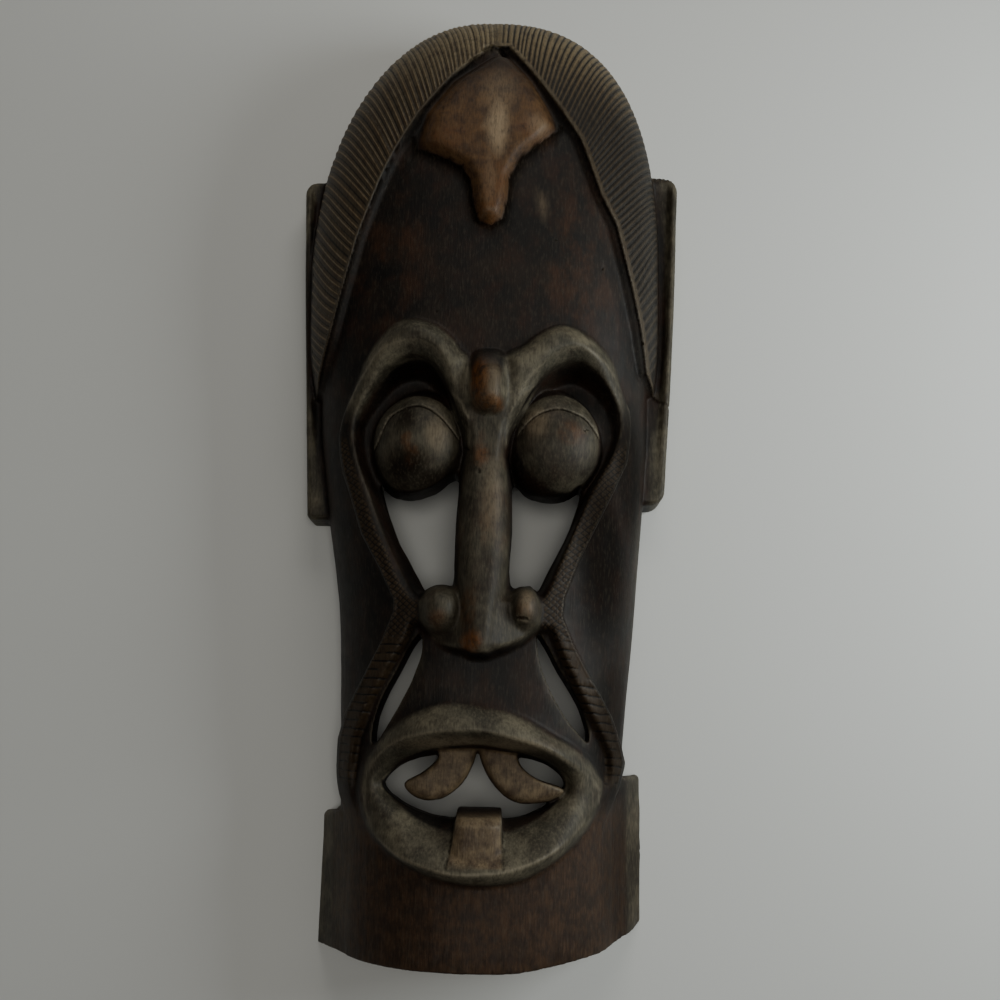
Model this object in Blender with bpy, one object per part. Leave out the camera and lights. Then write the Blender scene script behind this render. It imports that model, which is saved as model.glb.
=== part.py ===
# A long face mask carved from one half-log of wood, lying on its flat back rim with the face up.
# X runs to the viewer's right, Y from chin to crown and Z out of the face.
# Lengths are in metres. The carving itself is laid out in plan on a chart of CHART parts, centred on
# the mask, so that its proportions follow LENGTH and WIDTH.

import bmesh
import bpy
import numpy as np

# Overall sizes
LENGTH = 0.600
WIDTH = 0.250
DOME_HEIGHT = 0.096
FACE_HEIGHT = 0.087
CHART = np.array([250.0, 600.0])

# Walls around the hollow back, and its height under the face and under the dome
SIDE_WALL = 0.015
CHIN_WALL = 0.020
FACE_HOLLOW = 0.051
DOME_HOLLOW = 0.074

# Relief: how far each carved form stands out from, or sinks into, the plain face
HAIR_RISE = 0.006
ORNAMENT_RISE = 0.009
BROW_RISE = 0.010
CHEEK_BAND_RISE = 0.004
LIP_RISE = 0.009
LIP_CORNER_RISE = 0.003
LID_RISE = 0.0012
PHILTRUM_SINK = 0.008
EAR_CHANNEL_SINK = 0.005

# Heights above the rim
SOCKET_FLOOR = 0.061
MOUTH_EDGE = 0.061
EYE_HEIGHT = 0.088
KNOB_BASE_HEIGHT = 0.099
KNOB_HEIGHT = 0.105
NOSE_BRIDGE_HEIGHT = 0.090
NOSE_TIP_HEIGHT = 0.106
NOSTRIL_HEIGHT = 0.100
UPPER_TOOTH_HEIGHT = 0.070
LOWER_TOOTH_HEIGHT = 0.089
LOWER_TOOTH_BACK_HEIGHT = 0.064
TOOTH_ROOT_HEIGHT = 0.049
EAR_HEIGHT = 0.026

# The head along the chart, from chin to its widest place: half widths, squareness and shape of its dome
STATIONS = (-300, -200, -150, -105, -42, 10, 60, 120)
LEFT_HALF_WIDTHS = (80, 84, 86, 89, 99, 107, 116, 119)
RIGHT_HALF_WIDTHS = (88, 88, 92, 96, 101, 105, 111.5, 113)
SECTION_POWERS = (2.05, 2.1, 2.25, 2.35, 2.45, 2.5, 2.5, 2.5)
DOME_STEP = (10, 60)
HOLLOW_STEP = (55, 120)
CHIN_DROOP = 0.97
CHIN_DROOP_ENDS = (-300, -200)
LEFT_ARCH_POWER = 2.15
RIGHT_ARCH_POWER = 2.7
DOME_POWER = 3.0

# Outlines on the chart: the forehead's pointed arch, then the ornament under its point
FOREHEAD_LEFT = ((-1, 254), (-25, 229), (-45, 202), (-60, 176), (-68, 158), (-81, 123), (-90, 89),
                 (-97, 63), (-107, 35), (-128, 22))
FOREHEAD_FOOT = ((-140, -320), (140, -320))
FOREHEAD_RIGHT = ((9, 254), (39, 210), (55, 186), (68, 151), (78, 134), (89, 96), (95, 72), (100, 47),
                  (112, 38), (128, 30))
ORNAMENT = ((2, 251), (-25, 225), (-40, 202), (-44, 177), (-29, 169), (-17, 162), (-12, 152), (-10, 138),
            (-6, 128), (1, 125), (6, 130), (9, 141), (11, 156), (18, 170), (28, 179), (39, 191), (36, 204),
            (26, 226), (12, 247))

# The cheek bands: a raised X that is narrowest beside the nostrils
CHEEK_BANDS = ((-85, 10), (-87, -3), (-86, -12), (-83, -25), (-78, -38), (-70, -62), (-58, -83), (-49, -101),
               (-49, -108), (-55, -124), (-68, -149), (-76, -164), (-81, -179), (-82, -195), (-80, -212),
               (0, -230), (80, -212), (87, -190), (83, -178), (76, -162), (64, -143), (54, -125), (47, -109),
               (48, -98), (56, -77), (67, -54), (76, -35), (85, -14), (87, 1), (86, 12), (0, 20))

# Each brow's outer edge, closed inside the socket
LEFT_BROW = ((-86, 8), (-84, 18), (-79, 31), (-73, 45), (-66, 55), (-57, 64), (-47, 67), (-37, 65), (-28, 61),
             (-20, 54), (-14, 46), (-8, 38), (-8, 4), (-40, -6), (-76, -2))
RIGHT_BROW = ((9, 37), (13, 45), (21, 49), (30, 57), (39, 63), (47, 65), (56, 63), (65, 59), (73, 53), (80, 45),
              (84, 34), (89, 20), (88, 4), (76, -2), (40, -6), (9, 4))

# Each socket's crest line, then the edge of its floor, and the hole below the eye
LEFT_CREST = ((-83, 12), (-79, 24), (-75, 31), (-67, 42), (-60, 47), (-52, 49), (-43, 50), (-35, 48), (-28, 43),
              (-23, 34), (-18, 22), (-12, 8), (-6, -6), (-6, -60), (-10, -96), (-31, -103), (-43, -95),
              (-53, -75), (-63, -55), (-74, -28), (-82, -4))
LEFT_FLOOR = ((-70, 4), (-63, 21), (-54, 31), (-43, 35), (-32, 31), (-22, 16), (-15, -5), (-10, -40),
              (-11, -88), (-24, -92), (-31, -95), (-44, -74), (-52, -58), (-61, -34), (-68, -16))
LEFT_HOLE = ((-62, -30), (-54, -35), (-42, -37), (-29, -33), (-15, -25), (-15, -57), (-16, -90), (-24, -91),
             (-31, -95), (-37, -86), (-44, -74), (-52, -59))
RIGHT_CREST = ((88, 12), (88, 20), (85, 28), (76, 39), (66, 46), (56, 49), (45, 46), (32, 36), (23, 25),
               (15, 10), (9, -5), (8, -60), (12, -98), (33, -103), (45, -77), (54, -53), (67, -28), (78, -8))
RIGHT_FLOOR = ((75, 4), (70, 24), (58, 34), (47, 34), (36, 26), (26, 12), (18, -8), (12, -40), (12, -88),
               (28, -90), (33, -93), (46, -68), (54, -51), (60, -32), (70, -14))
RIGHT_HOLE = ((59, -30), (50, -35), (41, -37), (32, -36), (25, -33), (17.5, -28), (17.5, -58), (17, -89),
              (29, -89), (33, -93), (39, -82), (47, -66), (54, -50))

# Eyeballs: centre, half width and half length, then the oval that the lid leaves bare
LEFT_EYE = (-36.5, -6.5, 29, 34)
LEFT_EYE_BARE = (-38, -14, 25, 28)
RIGHT_EYE = (40.5, -4.5, 28, 34)
RIGHT_EYE_BARE = (43, -11, 25, 28)

# The sunken field below the nose, and the slit on each side of it
PHILTRUM = ((-38, -112), (-41, -122), (-53, -143), (-61, -157), (-69, -179), (-71, -196), (-62, -214), (0, -230),
            (68, -212), (77, -194), (76, -184), (68, -169), (57, -150), (48, -131), (41, -114))
LEFT_SLIT = ((-33, -120), (-32, -130), (-35, -140), (-39, -150), (-47, -165), (-57, -181), (-60, -180),
             (-59, -170), (-55, -157), (-47, -142), (-38, -125))
RIGHT_SLIT = ((33, -118), (38, -124), (46, -138), (54, -150), (60, -161), (64, -172), (64, -179), (61, -177),
              (52, -168), (44, -156), (38, -144), (34, -132))

# The mouth: its middle and how far from it the lips sink, outer edge of the lips, their crest, the opening
MOUTH_MIDDLE = 3
LIP_CORNER = (38, 66)
LIP_EDGE = ((-66, -208), (-64, -192), (-57, -181), (-45, -169), (-32, -162), (-17, -158), (0, -159), (17, -162),
            (30, -167), (42, -174), (55, -181), (66, -190), (74, -202), (71, -215), (63, -228), (50, -240),
            (31, -251), (13, -255), (-5, -255), (-23, -252), (-38, -246), (-51, -238), (-62, -227))
LIP_CREST = ((-63, -210), (-61, -196), (-53, -186), (-44, -180), (-31, -176), (-15, -174), (5, -174),
             (23, -178), (36, -182), (50, -189), (61, -196), (71, -205), (65, -217), (53, -230), (37, -240),
             (19, -246), (1, -248), (-13, -248), (-31, -244), (-47, -237), (-58, -226))
MOUTH_HOLE = ((-53, -205), (-49, -198), (-41, -192), (-24, -187), (0, -185), (22, -187), (37, -190), (47, -196),
              (51, -203), (46, -210), (33, -218), (17, -222), (-11, -222), (-26, -220), (-42, -214))
LOWER_TOOTH_CROWN = 0.004
TOOTH_EDGE = ((0.006, 1.0), (0.002, 0.9), (0.0, 0.62))
UPPER_LEFT_TOOTH = ((-21, -178), (-21, -187), (-24, -192), (-30, -197), (-40, -203), (-36, -209), (-28, -212),
                    (-19, -211), (-10, -205), (-4, -197), (0, -186), (0, -178))
UPPER_RIGHT_TOOTH = ((2, -178), (2, -187), (6, -197), (13, -206), (22, -212), (31, -213), (42, -211),
                     (50, -205), (36, -200), (27, -194), (23, -187), (22, -178))
LOWER_TOOTH_SIDES = (-12, 15)
LOWER_TOOTH_ENDS = (-246, -222, -216)

# The nose along the chart: half width of its shaft, and its height as a share from bridge to tip
NOSE_MIDDLE = 1
NOSE_STATIONS = (-131.5, -129.5, -125, -119, -105, -80, -45, -27, -14, 8)
NOSE_HALF_WIDTHS = (2, 8, 11.5, 14.5, 17, 17, 16.5, 15, 13, 11)
NOSE_SHARES = (0.5, 0.8, 0.97, 1.0, 0.87, 0.6, 0.38, 0.25, 0.0, 0.1)
NOSE_WINGS = ((-33, -106), (-31, -116), (-23.5, -123.5), (-13, -129), (-0.5, -131.5), (11, -130), (19, -125.5),
              (27, -121.5), (32.5, -117), (34, -106), (18, -98), (-18, -98))
NOSE_WING_FALL = 0.0005
NOSTRILS = ((-20.5, -106, 13.5, 16), (23.5, -105, 11, 15))
KNOB_BASE = (2, 26, 15, 24)
KNOB = (3, 20, 10.5, 17)

# The beard: half widths at the rim, height to which its sides flare, shoulders, and the cut of its right end
BEARD_HALF_WIDTHS = (95, 102)
BEARD_FLARE_HEIGHT = 0.045
BEARD_SHOULDERS = (-223, -197)
CHIN_CUT = ((12, -300), (45, -297), (75, -290), (104, -280))

# Each ear: bottom and top on the chart, how far out it stands at the bottom, middle and top, and how
# much its two outer corners are rounded
LEFT_EAR = ((-45, 186), (111, 119, 125.4), (3, 9))
RIGHT_EAR = ((-31, 195), (114, 121, 125.4), (9, 10))
EAR_ROOT = 93
EAR_ROUNDING = 0.003
EAR_RINGS = 11
EAR_CORNER_RINGS = 5

# How softly each form meets its neighbours on the chart, and how its wall falls
HAIR_EDGE = 3
TEMPLES = (0, 60)
ORNAMENT_EDGE = 11
BAND_EDGE = 3
BROW_EDGE = 13
BROW_FOOT = (0, 44)
PHILTRUM_EDGE = 6
WING_EDGE = 4
LID_EDGE = 2
SOCKET_WALL_POWER = 1.2
LIP_WALL_POWER = 0.6
NOSE_SQUARENESS = 2.6
KNOB_SQUARENESS = 3.0
HOLLOW_POWER = 2.8

# Fineness of the carving before it is thinned to facets
ROWS_BELOW_DOME = 240
ROWS_OF_DOME = 100
COLUMNS = 230
BEARD_COLUMNS = 33
HOLLOW_COLUMNS = 25
FACETS_SHARE = 0.039
WEAR_PASSES = 3
DOME_TURN = 1.547
DOME_TIP = 0.02
BEARD_SEAM = 0.0015
BEARD_BELOW_LIPS = 0.004
CHIN_OVERRUN = 4
OVERRUN = 0.010


def scale():
    """Metres for one part of the chart, along X and along Y."""
    return np.array([WIDTH, LENGTH]) / CHART


def eased(stations, values, where):
    """A smooth curve through a few values, held level past its ends."""
    stations, values = np.asarray(stations, float), np.asarray(values, float)
    where = np.clip(where, stations[0], stations[-1])
    i = np.clip(np.searchsorted(stations, where) - 1, 0, len(stations) - 2)
    span = stations[i + 1] - stations[i]
    t = (where - stations[i]) / span
    slope = np.gradient(values, stations)
    rise = (3 - 2 * t) * t * t
    bend = t * (1 - t) * span * ((1 - t) * slope[i] - t * slope[i + 1])
    return values[i] + (values[i + 1] - values[i]) * rise + bend


def ramp(distance, width):
    """0 outside an edge and 1 from width inside it on."""
    t = np.clip(distance / width, 0, 1)
    return t * t * (3 - 2 * t)


def swell(distance, width):
    """A rounded rise: 0 at the edge, steep at first, and 1 from width inside it on."""
    return np.sin(np.clip(distance / width, 0, 1) * np.pi / 2)


def rounded(points, steps=4):
    """A closed smooth outline through points."""
    points = np.asarray(points, float)
    before, after, later = (np.roll(points, shift, axis=0) for shift in (1, -1, -2))
    rows = []
    for t in np.arange(steps) / steps:
        rows.append(0.5 * (2 * points + (after - before) * t
                           + (2 * before - 5 * points + 4 * after - later) * t ** 2
                           + (3 * points - before - 3 * after + later) * t ** 3))
    return np.stack(rows, axis=1).reshape(-1, 2)


def depth_inside(outline, x, y):
    """How far each place lies inside a closed outline, negative outside it."""
    near = np.full(x.shape, np.inf)
    inside = np.zeros(x.shape, bool)
    for (ax, ay), (bx, by) in zip(outline, np.roll(outline, -1, axis=0)):
        run, climb = bx - ax, by - ay
        t = np.clip(((x - ax) * run + (y - ay) * climb) / (run ** 2 + climb ** 2), 0, 1)
        near = np.minimum(near, np.hypot(x - ax - t * run, y - ay - t * climb))
        if climb:
            inside ^= ((ay > y) != (by > y)) & (x < ax + (y - ay) * run / climb)
    return np.where(inside, near, -near)


def between(inner, outer, x, y):
    """0 on the inner outline and 1 on the outer one, by the shares of the distances to both."""
    from_inner = np.maximum(-depth_inside(inner, x, y), 0)
    from_outer = np.maximum(depth_inside(outer, x, y), 0)
    return from_inner / np.maximum(from_inner + from_outer, 1e-9)


def dome_share(y, power):
    """How wide or high the dome still is at a place of the chart."""
    t = np.clip((y - STATIONS[-1]) / (CHART[1] / 2 - STATIONS[-1]), 0, 1)
    return (1 - t ** power) ** (1 / power)


def half_widths(y):
    """The plain head's reach to the left and to the right at its rim, on the chart."""
    left = eased(STATIONS, LEFT_HALF_WIDTHS, y) * dome_share(y, LEFT_ARCH_POWER)
    right = eased(STATIONS, RIGHT_HALF_WIDTHS, y) * dome_share(y, RIGHT_ARCH_POWER)
    return left, right


def crown(y, face, dome, step):
    """Height along the middle of a form that is lower under the face than under the dome."""
    height = face + (dome - face) * ramp(y - step[0], step[1] - step[0])
    droop = eased(CHIN_DROOP_ENDS, (CHIN_DROOP, 1.0), y)
    return height * droop * dome_share(y, DOME_POWER)


def section(left, right, height, columns, power):
    """Half a rounded oblong from the left rim over the top to the right rim, as (x, z) rows."""
    angle = np.linspace(np.pi, 0, columns)
    across = np.sign(np.cos(angle)) * np.abs(np.cos(angle)) ** (2 / power)
    x = np.where(across < 0, across * left, across * right)
    return np.stack([x, height * np.abs(np.sin(angle)) ** (2 / power)], axis=1)


def ring(y, xz):
    """A section's points, all at one place along the mask."""
    return np.column_stack([xz[:, 0], np.full(len(xz), y), xz[:, 1]])


def dome_places(start, end, rows):
    """Places along a dome, closer together towards its end."""
    return start + (end - start) * np.sin(np.linspace(0, DOME_TURN, rows)) / np.sin(DOME_TURN)


def plain_head():
    """The head before it is carved, as rows of points in metres."""
    across, along = scale()
    below = np.linspace(STATIONS[0] - CHIN_OVERRUN, STATIONS[-1], ROWS_BELOW_DOME, endpoint=False)
    dome = dome_places(STATIONS[-1], CHART[1] / 2 - DOME_TIP, ROWS_OF_DOME)
    rows = []
    for y in np.concatenate([below, dome]):
        left, right = half_widths(y)
        power = eased(STATIONS, SECTION_POWERS, y)
        height = crown(y, FACE_HEIGHT, DOME_HEIGHT, DOME_STEP)
        rows.append(ring(y * along, section(left * across, right * across, height, COLUMNS, power)))
    return np.array(rows)


def outward(points):
    """The direction straight out of a grid of points."""
    normal = np.cross(np.gradient(points, axis=1), np.gradient(points, axis=0))
    return normal / np.maximum(np.linalg.norm(normal, axis=2, keepdims=True), 1e-12)


def outward_relief(x, y):
    """What stands straight out: forehead lower than the hair, its ornament, and the cheek bands."""
    forehead = np.array(FOREHEAD_LEFT + FOREHEAD_FOOT + FOREHEAD_RIGHT[::-1])
    below_hair = ramp(depth_inside(forehead, x, y), HAIR_EDGE)
    relief = -HAIR_RISE * below_hair * ramp(y - TEMPLES[0], TEMPLES[1] - TEMPLES[0])
    relief = relief + ORNAMENT_RISE * swell(depth_inside(np.array(ORNAMENT), x, y), ORNAMENT_EDGE)
    return relief + CHEEK_BAND_RISE * ramp(depth_inside(np.array(CHEEK_BANDS), x, y), BAND_EDGE)


def brow(height, outline, x, y):
    """A rounded ridge that runs up from the brow's outer edge to the socket, and dies out at its foot."""
    fade = ramp(y - BROW_FOOT[0], BROW_FOOT[1] - BROW_FOOT[0])
    return height + BROW_RISE * fade * swell(depth_inside(rounded(outline), x, y), BROW_EDGE)


def socket(height, crest, floor, x, y):
    """A hollow whose wall falls from its crest line to a level floor."""
    crest = rounded(crest)
    wall = between(rounded(floor), crest, x, y) ** SOCKET_WALL_POWER
    return np.where(depth_inside(crest, x, y) > 0, SOCKET_FLOOR + (height - SOCKET_FLOOR) * wall, height)


def bulge(x, y, centre_x, centre_y, half_width, half_length, bottom, top, power=2.0):
    """A rounded lump, and nothing (minus infinity) beside it."""
    away = np.abs((x - centre_x) / half_width) ** power + np.abs((y - centre_y) / half_length) ** power
    return np.where(away < 1, bottom + (top - bottom) * np.clip(1 - away, 0, 1) ** (1 / power), -np.inf)


def eye(height, ball, bare, x, y):
    """The ball, and the thin lid over its upper part outside an oval that stays bare."""
    surface = bulge(x, y, *ball, SOCKET_FLOOR, EYE_HEIGHT)
    centre_x, centre_y, half_width, half_length = bare
    outside = np.hypot((x - centre_x) / half_width, (y - centre_y) / half_length) - 1
    lid = ramp(outside * half_width, LID_EDGE) * (y > centre_y)
    return np.maximum(height, surface + LID_RISE * lid)


def nose(height, x, y):
    """Shaft, flared wings, the two nostril balls, and the knob at its root."""
    half_width = eased(NOSE_STATIONS, NOSE_HALF_WIDTHS, y)
    top = NOSE_BRIDGE_HEIGHT + (NOSE_TIP_HEIGHT - NOSE_BRIDGE_HEIGHT) * eased(NOSE_STATIONS, NOSE_SHARES, y)
    across = np.clip(1 - np.abs((x - NOSE_MIDDLE) / half_width) ** NOSE_SQUARENESS, 0, 1)
    on_shaft = (across > 0) & (y > NOSE_STATIONS[0]) & (y < NOSE_STATIONS[-1])
    shaft = SOCKET_FLOOR + (top - SOCKET_FLOOR) * across ** (1 / NOSE_SQUARENESS)
    height = np.maximum(height, np.where(on_shaft, shaft, -np.inf))
    inside_wings = depth_inside(rounded(NOSE_WINGS), x, y)
    wing_top = NOSE_TIP_HEIGHT - NOSE_WING_FALL * np.abs(x - NOSE_MIDDLE)
    wings = SOCKET_FLOOR + (wing_top - SOCKET_FLOOR) * swell(inside_wings, WING_EDGE)
    height = np.maximum(height, np.where(inside_wings > 0, wings, -np.inf))
    for nostril in NOSTRILS:
        height = np.maximum(height, bulge(x, y, *nostril, SOCKET_FLOOR, NOSTRIL_HEIGHT, NOSE_SQUARENESS))
    for knob, top in ((KNOB_BASE, KNOB_BASE_HEIGHT), (KNOB, KNOB_HEIGHT)):
        height = np.maximum(height, bulge(x, y, *knob, SOCKET_FLOOR, top, KNOB_SQUARENESS))
    return height


def mouth(height, x, y):
    """Lips that rise to a crest and fall inside it, like a bowl, to the edge of the opening."""
    edge, crest, hole = (rounded(outline) for outline in (LIP_EDGE, LIP_CREST, MOUTH_HOLE))
    towards_corner = ramp(np.abs(x - MOUTH_MIDDLE) - LIP_CORNER[0], LIP_CORNER[1] - LIP_CORNER[0])
    rise = LIP_RISE + (LIP_CORNER_RISE - LIP_RISE) * towards_corner
    slope = swell(1 - between(crest, edge, x, y), 1)
    lips = height + rise * np.where(depth_inside(edge, x, y) > 0, slope, 0)
    wall = between(hole, crest, x, y) ** LIP_WALL_POWER
    return np.where(depth_inside(crest, x, y) > 0, MOUTH_EDGE + (lips - MOUTH_EDGE) * wall, lips)


def carved_face(plain, x, y):
    """The face's height with everything that is carved straight down into it."""
    height = brow(brow(plain, LEFT_BROW, x, y), RIGHT_BROW, x, y)
    height = height - PHILTRUM_SINK * ramp(depth_inside(np.array(PHILTRUM), x, y), PHILTRUM_EDGE)
    height = socket(height, LEFT_CREST, LEFT_FLOOR, x, y)
    height = socket(height, RIGHT_CREST, RIGHT_FLOOR, x, y)
    height = eye(height, LEFT_EYE, LEFT_EYE_BARE, x, y)
    height = eye(height, RIGHT_EYE, RIGHT_EYE_BARE, x, y)
    return nose(mouth(height, x, y), x, y)


def worn(height):
    """Heights with their sharp edges worn down a little, as by years of handling."""
    for _ in range(WEAR_PASSES):
        beside = height[:-2, 1:-1] + height[2:, 1:-1] + height[1:-1, :-2] + height[1:-1, 2:]
        height[1:-1, 1:-1] = (beside / 4 + height[1:-1, 1:-1]) / 2
    return height


def carved_head():
    """The head's outer surface with its relief, as rows of points in metres."""
    points = plain_head()
    x, y = points[:, :, 0] / scale()[0], points[:, :, 1] / scale()[1]
    points = points + outward(points) * outward_relief(x, y)[:, :, None]
    points[:, :, 2] = worn(carved_face(points[:, :, 2], x, y))
    points[-1, :, 1] = LENGTH / 2
    return points


def with_skirt(rows):
    """Each row closed below the rim, so that the floor can be cut flat through it."""
    rows = np.array(rows)
    left, right = rows[:, :1].copy(), rows[:, -1:].copy()
    left[:, :, 2] = right[:, :, 2] = -OVERRUN
    rows[:, [0, -1], 2] = 0
    return np.concatenate([left, rows, right], axis=1)


def loft(name, rings):
    """A closed mesh object through rings that have the same number of points."""
    shape = bmesh.new()
    made = [[shape.verts.new(point) for point in points] for points in rings]
    for points, following in zip(made, made[1:]):
        for i in range(len(points)):
            j = (i + 1) % len(points)
            shape.faces.new((points[i], points[j], following[j], following[i]))
    shape.faces.new(made[0])
    shape.faces.new(made[-1])
    bmesh.ops.recalc_face_normals(shape, faces=shape.faces)
    mesh = bpy.data.meshes.new(name)
    shape.to_mesh(mesh)
    shape.free()
    lofted = bpy.data.objects.new(name, mesh)
    bpy.context.scene.collection.objects.link(lofted)
    return lofted


def prism(name, outline, low, high):
    """An outline on the chart made a solid between two heights."""
    flat = np.asarray(outline, float) * scale()
    return loft(name, [np.column_stack([flat, np.full(len(flat), height)]) for height in (low, high)])


def through(name, outline):
    """A hole from the face into the hollow."""
    return prism(name, rounded(outline, 2), -2 * OVERRUN, 2 * DOME_HEIGHT)


def upper_tooth(name, outline):
    """A petal with a rounded front, its root sunk into the lip and its back level with the hollow."""
    flat = rounded(outline, 2) * scale()
    middle = flat.mean(axis=0)
    rings = [np.column_stack([flat, np.full(len(flat), TOOTH_ROOT_HEIGHT)])]
    for drop, share in TOOTH_EDGE:
        shrunk = middle + (flat - middle) * share
        rings.append(np.column_stack([shrunk, np.full(len(flat), UPPER_TOOTH_HEIGHT - drop)]))
    return loft(name, rings)


def lower_tooth():
    """A block across the lower lip, crowned from side to side, with a slanting top end."""
    across, along = scale()
    left, right = (side * across for side in LOWER_TOOTH_SIDES)
    rings = []
    for y, height in zip(LOWER_TOOTH_ENDS, (LOWER_TOOTH_HEIGHT, LOWER_TOOTH_HEIGHT, LOWER_TOOTH_BACK_HEIGHT)):
        x = np.linspace(left, right, 7)
        bow = 1 - ((x - (left + right) / 2) / ((right - left) / 2)) ** 4
        top = np.column_stack([x, height - LOWER_TOOTH_CROWN * (1 - bow)])
        foot = [(right, TOOTH_ROOT_HEIGHT), (left, TOOTH_ROOT_HEIGHT)]
        rings.append(ring(y * along, np.concatenate([top, foot])))
    return loft("lower_tooth", rings)


def beard():
    """The block of the beard: sides that flare out behind the cheeks, its middle lower than the mouth."""
    across, along = scale()
    rings = []
    for share in np.linspace(0, 1, 5):
        chin, shoulder = STATIONS[0] - CHIN_OVERRUN, max(BEARD_SHOULDERS)
        y = chin + (shoulder - chin) * share
        left, right = half_widths(y)
        height = crown(y, FACE_HEIGHT, DOME_HEIGHT, DOME_STEP)
        xz = section(left * across, right * across, height, BEARD_COLUMNS, eased(STATIONS, SECTION_POWERS, y))
        low = np.clip(1 - xz[:, 1] / BEARD_FLARE_HEIGHT, 0, 1) ** 2
        flares = np.where(xz[:, 0] < 0, left - BEARD_HALF_WIDTHS[0], BEARD_HALF_WIDTHS[1] - right) * across
        top = np.minimum(xz[:, 1] - BEARD_SEAM, MOUTH_EDGE - BEARD_BELOW_LIPS)
        xz = np.column_stack([xz[:, 0] + flares * low, top])
        points = ring(y * along, xz)
        lean = np.clip((xz[:, 0] / across + BEARD_HALF_WIDTHS[0]) / sum(BEARD_HALF_WIDTHS), 0, 1)
        end = BEARD_SHOULDERS[0] + (BEARD_SHOULDERS[1] - BEARD_SHOULDERS[0]) * lean
        points[:, 1] = (chin + (end - chin) * share) * along
        rings.append(points)
    return loft("beard", with_skirt(rings))


def ear(name, side, ends, reaches, corners):
    """A long flap behind the cheek, wider at its top, with a shallow channel down its face."""
    across, along = scale()
    bottom, top = ends
    turn = 1 - np.cos(np.linspace(0, np.pi / 2, EAR_CORNER_RINGS))
    places = np.concatenate([bottom + turn * corners[0],
                             np.linspace(bottom + corners[0], top - corners[1], EAR_RINGS)[1:-1],
                             top - turn[::-1] * corners[1]])
    rings = []
    for y in places:
        into_corners = bottom + corners[0] - y, y - top + corners[1]
        past = [np.clip(into / radius, 0, 1) for into, radius in zip(into_corners, corners)]
        cut = sum(radius * (1 - np.sqrt(1 - turned ** 2)) for radius, turned in zip(corners, past))
        share = (y - bottom) / (top - bottom)
        reach = (eased((0, 0.5, 1), reaches, share) - cut) * across
        sink = EAR_CHANNEL_SINK * ramp(share, 0.5) * ramp(1 - share, 0.08)
        xz = [(EAR_ROOT * across, -OVERRUN), (reach, -OVERRUN), (reach, EAR_HEIGHT - EAR_ROUNDING),
              (reach - EAR_ROUNDING, EAR_HEIGHT), (reach - 2 * EAR_ROUNDING, EAR_HEIGHT - sink),
              (reach - 4 * EAR_ROUNDING, EAR_HEIGHT - sink), (EAR_ROOT * across, EAR_HEIGHT)]
        rings.append(ring(y * along, np.array(xz) * (side, 1)))
    return loft(name, rings)


def hollow():
    """The space behind the face, open at the back."""
    across, along = scale()
    first = STATIONS[0] + CHIN_WALL / along
    last = CHART[1] / 2 - SIDE_WALL / along
    places = np.concatenate([np.linspace(first, STATIONS[-1], 16, endpoint=False),
                             dome_places(STATIONS[-1], last, 12)])
    rings = []
    for y in places:
        stretch = (CHART[1] / 2 - STATIONS[-1]) / (last - STATIONS[-1])
        in_dome = min(STATIONS[-1] + (y - STATIONS[-1]) * stretch, CHART[1] / 2 - DOME_TIP)
        matching = in_dome if y > STATIONS[-1] else y
        share = dome_share(matching, LEFT_ARCH_POWER)
        left, right = (width * across - SIDE_WALL * share for width in half_widths(matching))
        height = crown(matching, FACE_HOLLOW, DOME_HOLLOW, HOLLOW_STEP)
        rings.append(ring(y * along, section(left, right, height, HOLLOW_COLUMNS, HOLLOW_POWER)))
    return loft("hollow", with_skirt(rings))


def chin_end():
    """Everything past the chin's end, which is cut up towards the right."""
    far, low = CHART
    outline = ((-far, STATIONS[0]),) + CHIN_CUT + ((far, CHIN_CUT[-1][1]), (far, -low), (-far, -low))
    return prism("chin_end", outline, -2 * OVERRUN, 2 * DOME_HEIGHT)


def floor():
    """Everything below the rim."""
    corners = np.array(((-1, -1), (1, -1), (1, 1), (-1, 1))) * CHART
    return prism("floor", corners, -4 * OVERRUN, 0.0)


def combine(target, name, operation, pieces):
    """Joins pieces to the target, or cuts them out of it, in one step."""
    group = bpy.data.collections.new(name)
    bpy.context.scene.collection.children.link(group)
    group.hide_render = True
    for piece in pieces:
        bpy.context.scene.collection.objects.unlink(piece)
        group.objects.link(piece)
        piece.hide_render = True
        piece.display_type = "WIRE"
    step = target.modifiers.new(name, "BOOLEAN")
    step.operation = operation
    step.operand_type = "COLLECTION"
    step.collection = group
    step.solver = "EXACT"


def stained_wood():
    """Hard wood, stained nearly black and rubbed to a dull polish."""
    material = bpy.data.materials.new("stained wood")
    material.use_nodes = True
    shader = material.node_tree.nodes["Principled BSDF"]
    shader.inputs["Base Color"].default_value = (0.045, 0.027, 0.018, 1)
    shader.inputs["Roughness"].default_value = 0.5
    shader.inputs["Metallic"].default_value = 0.0
    return material


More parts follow.
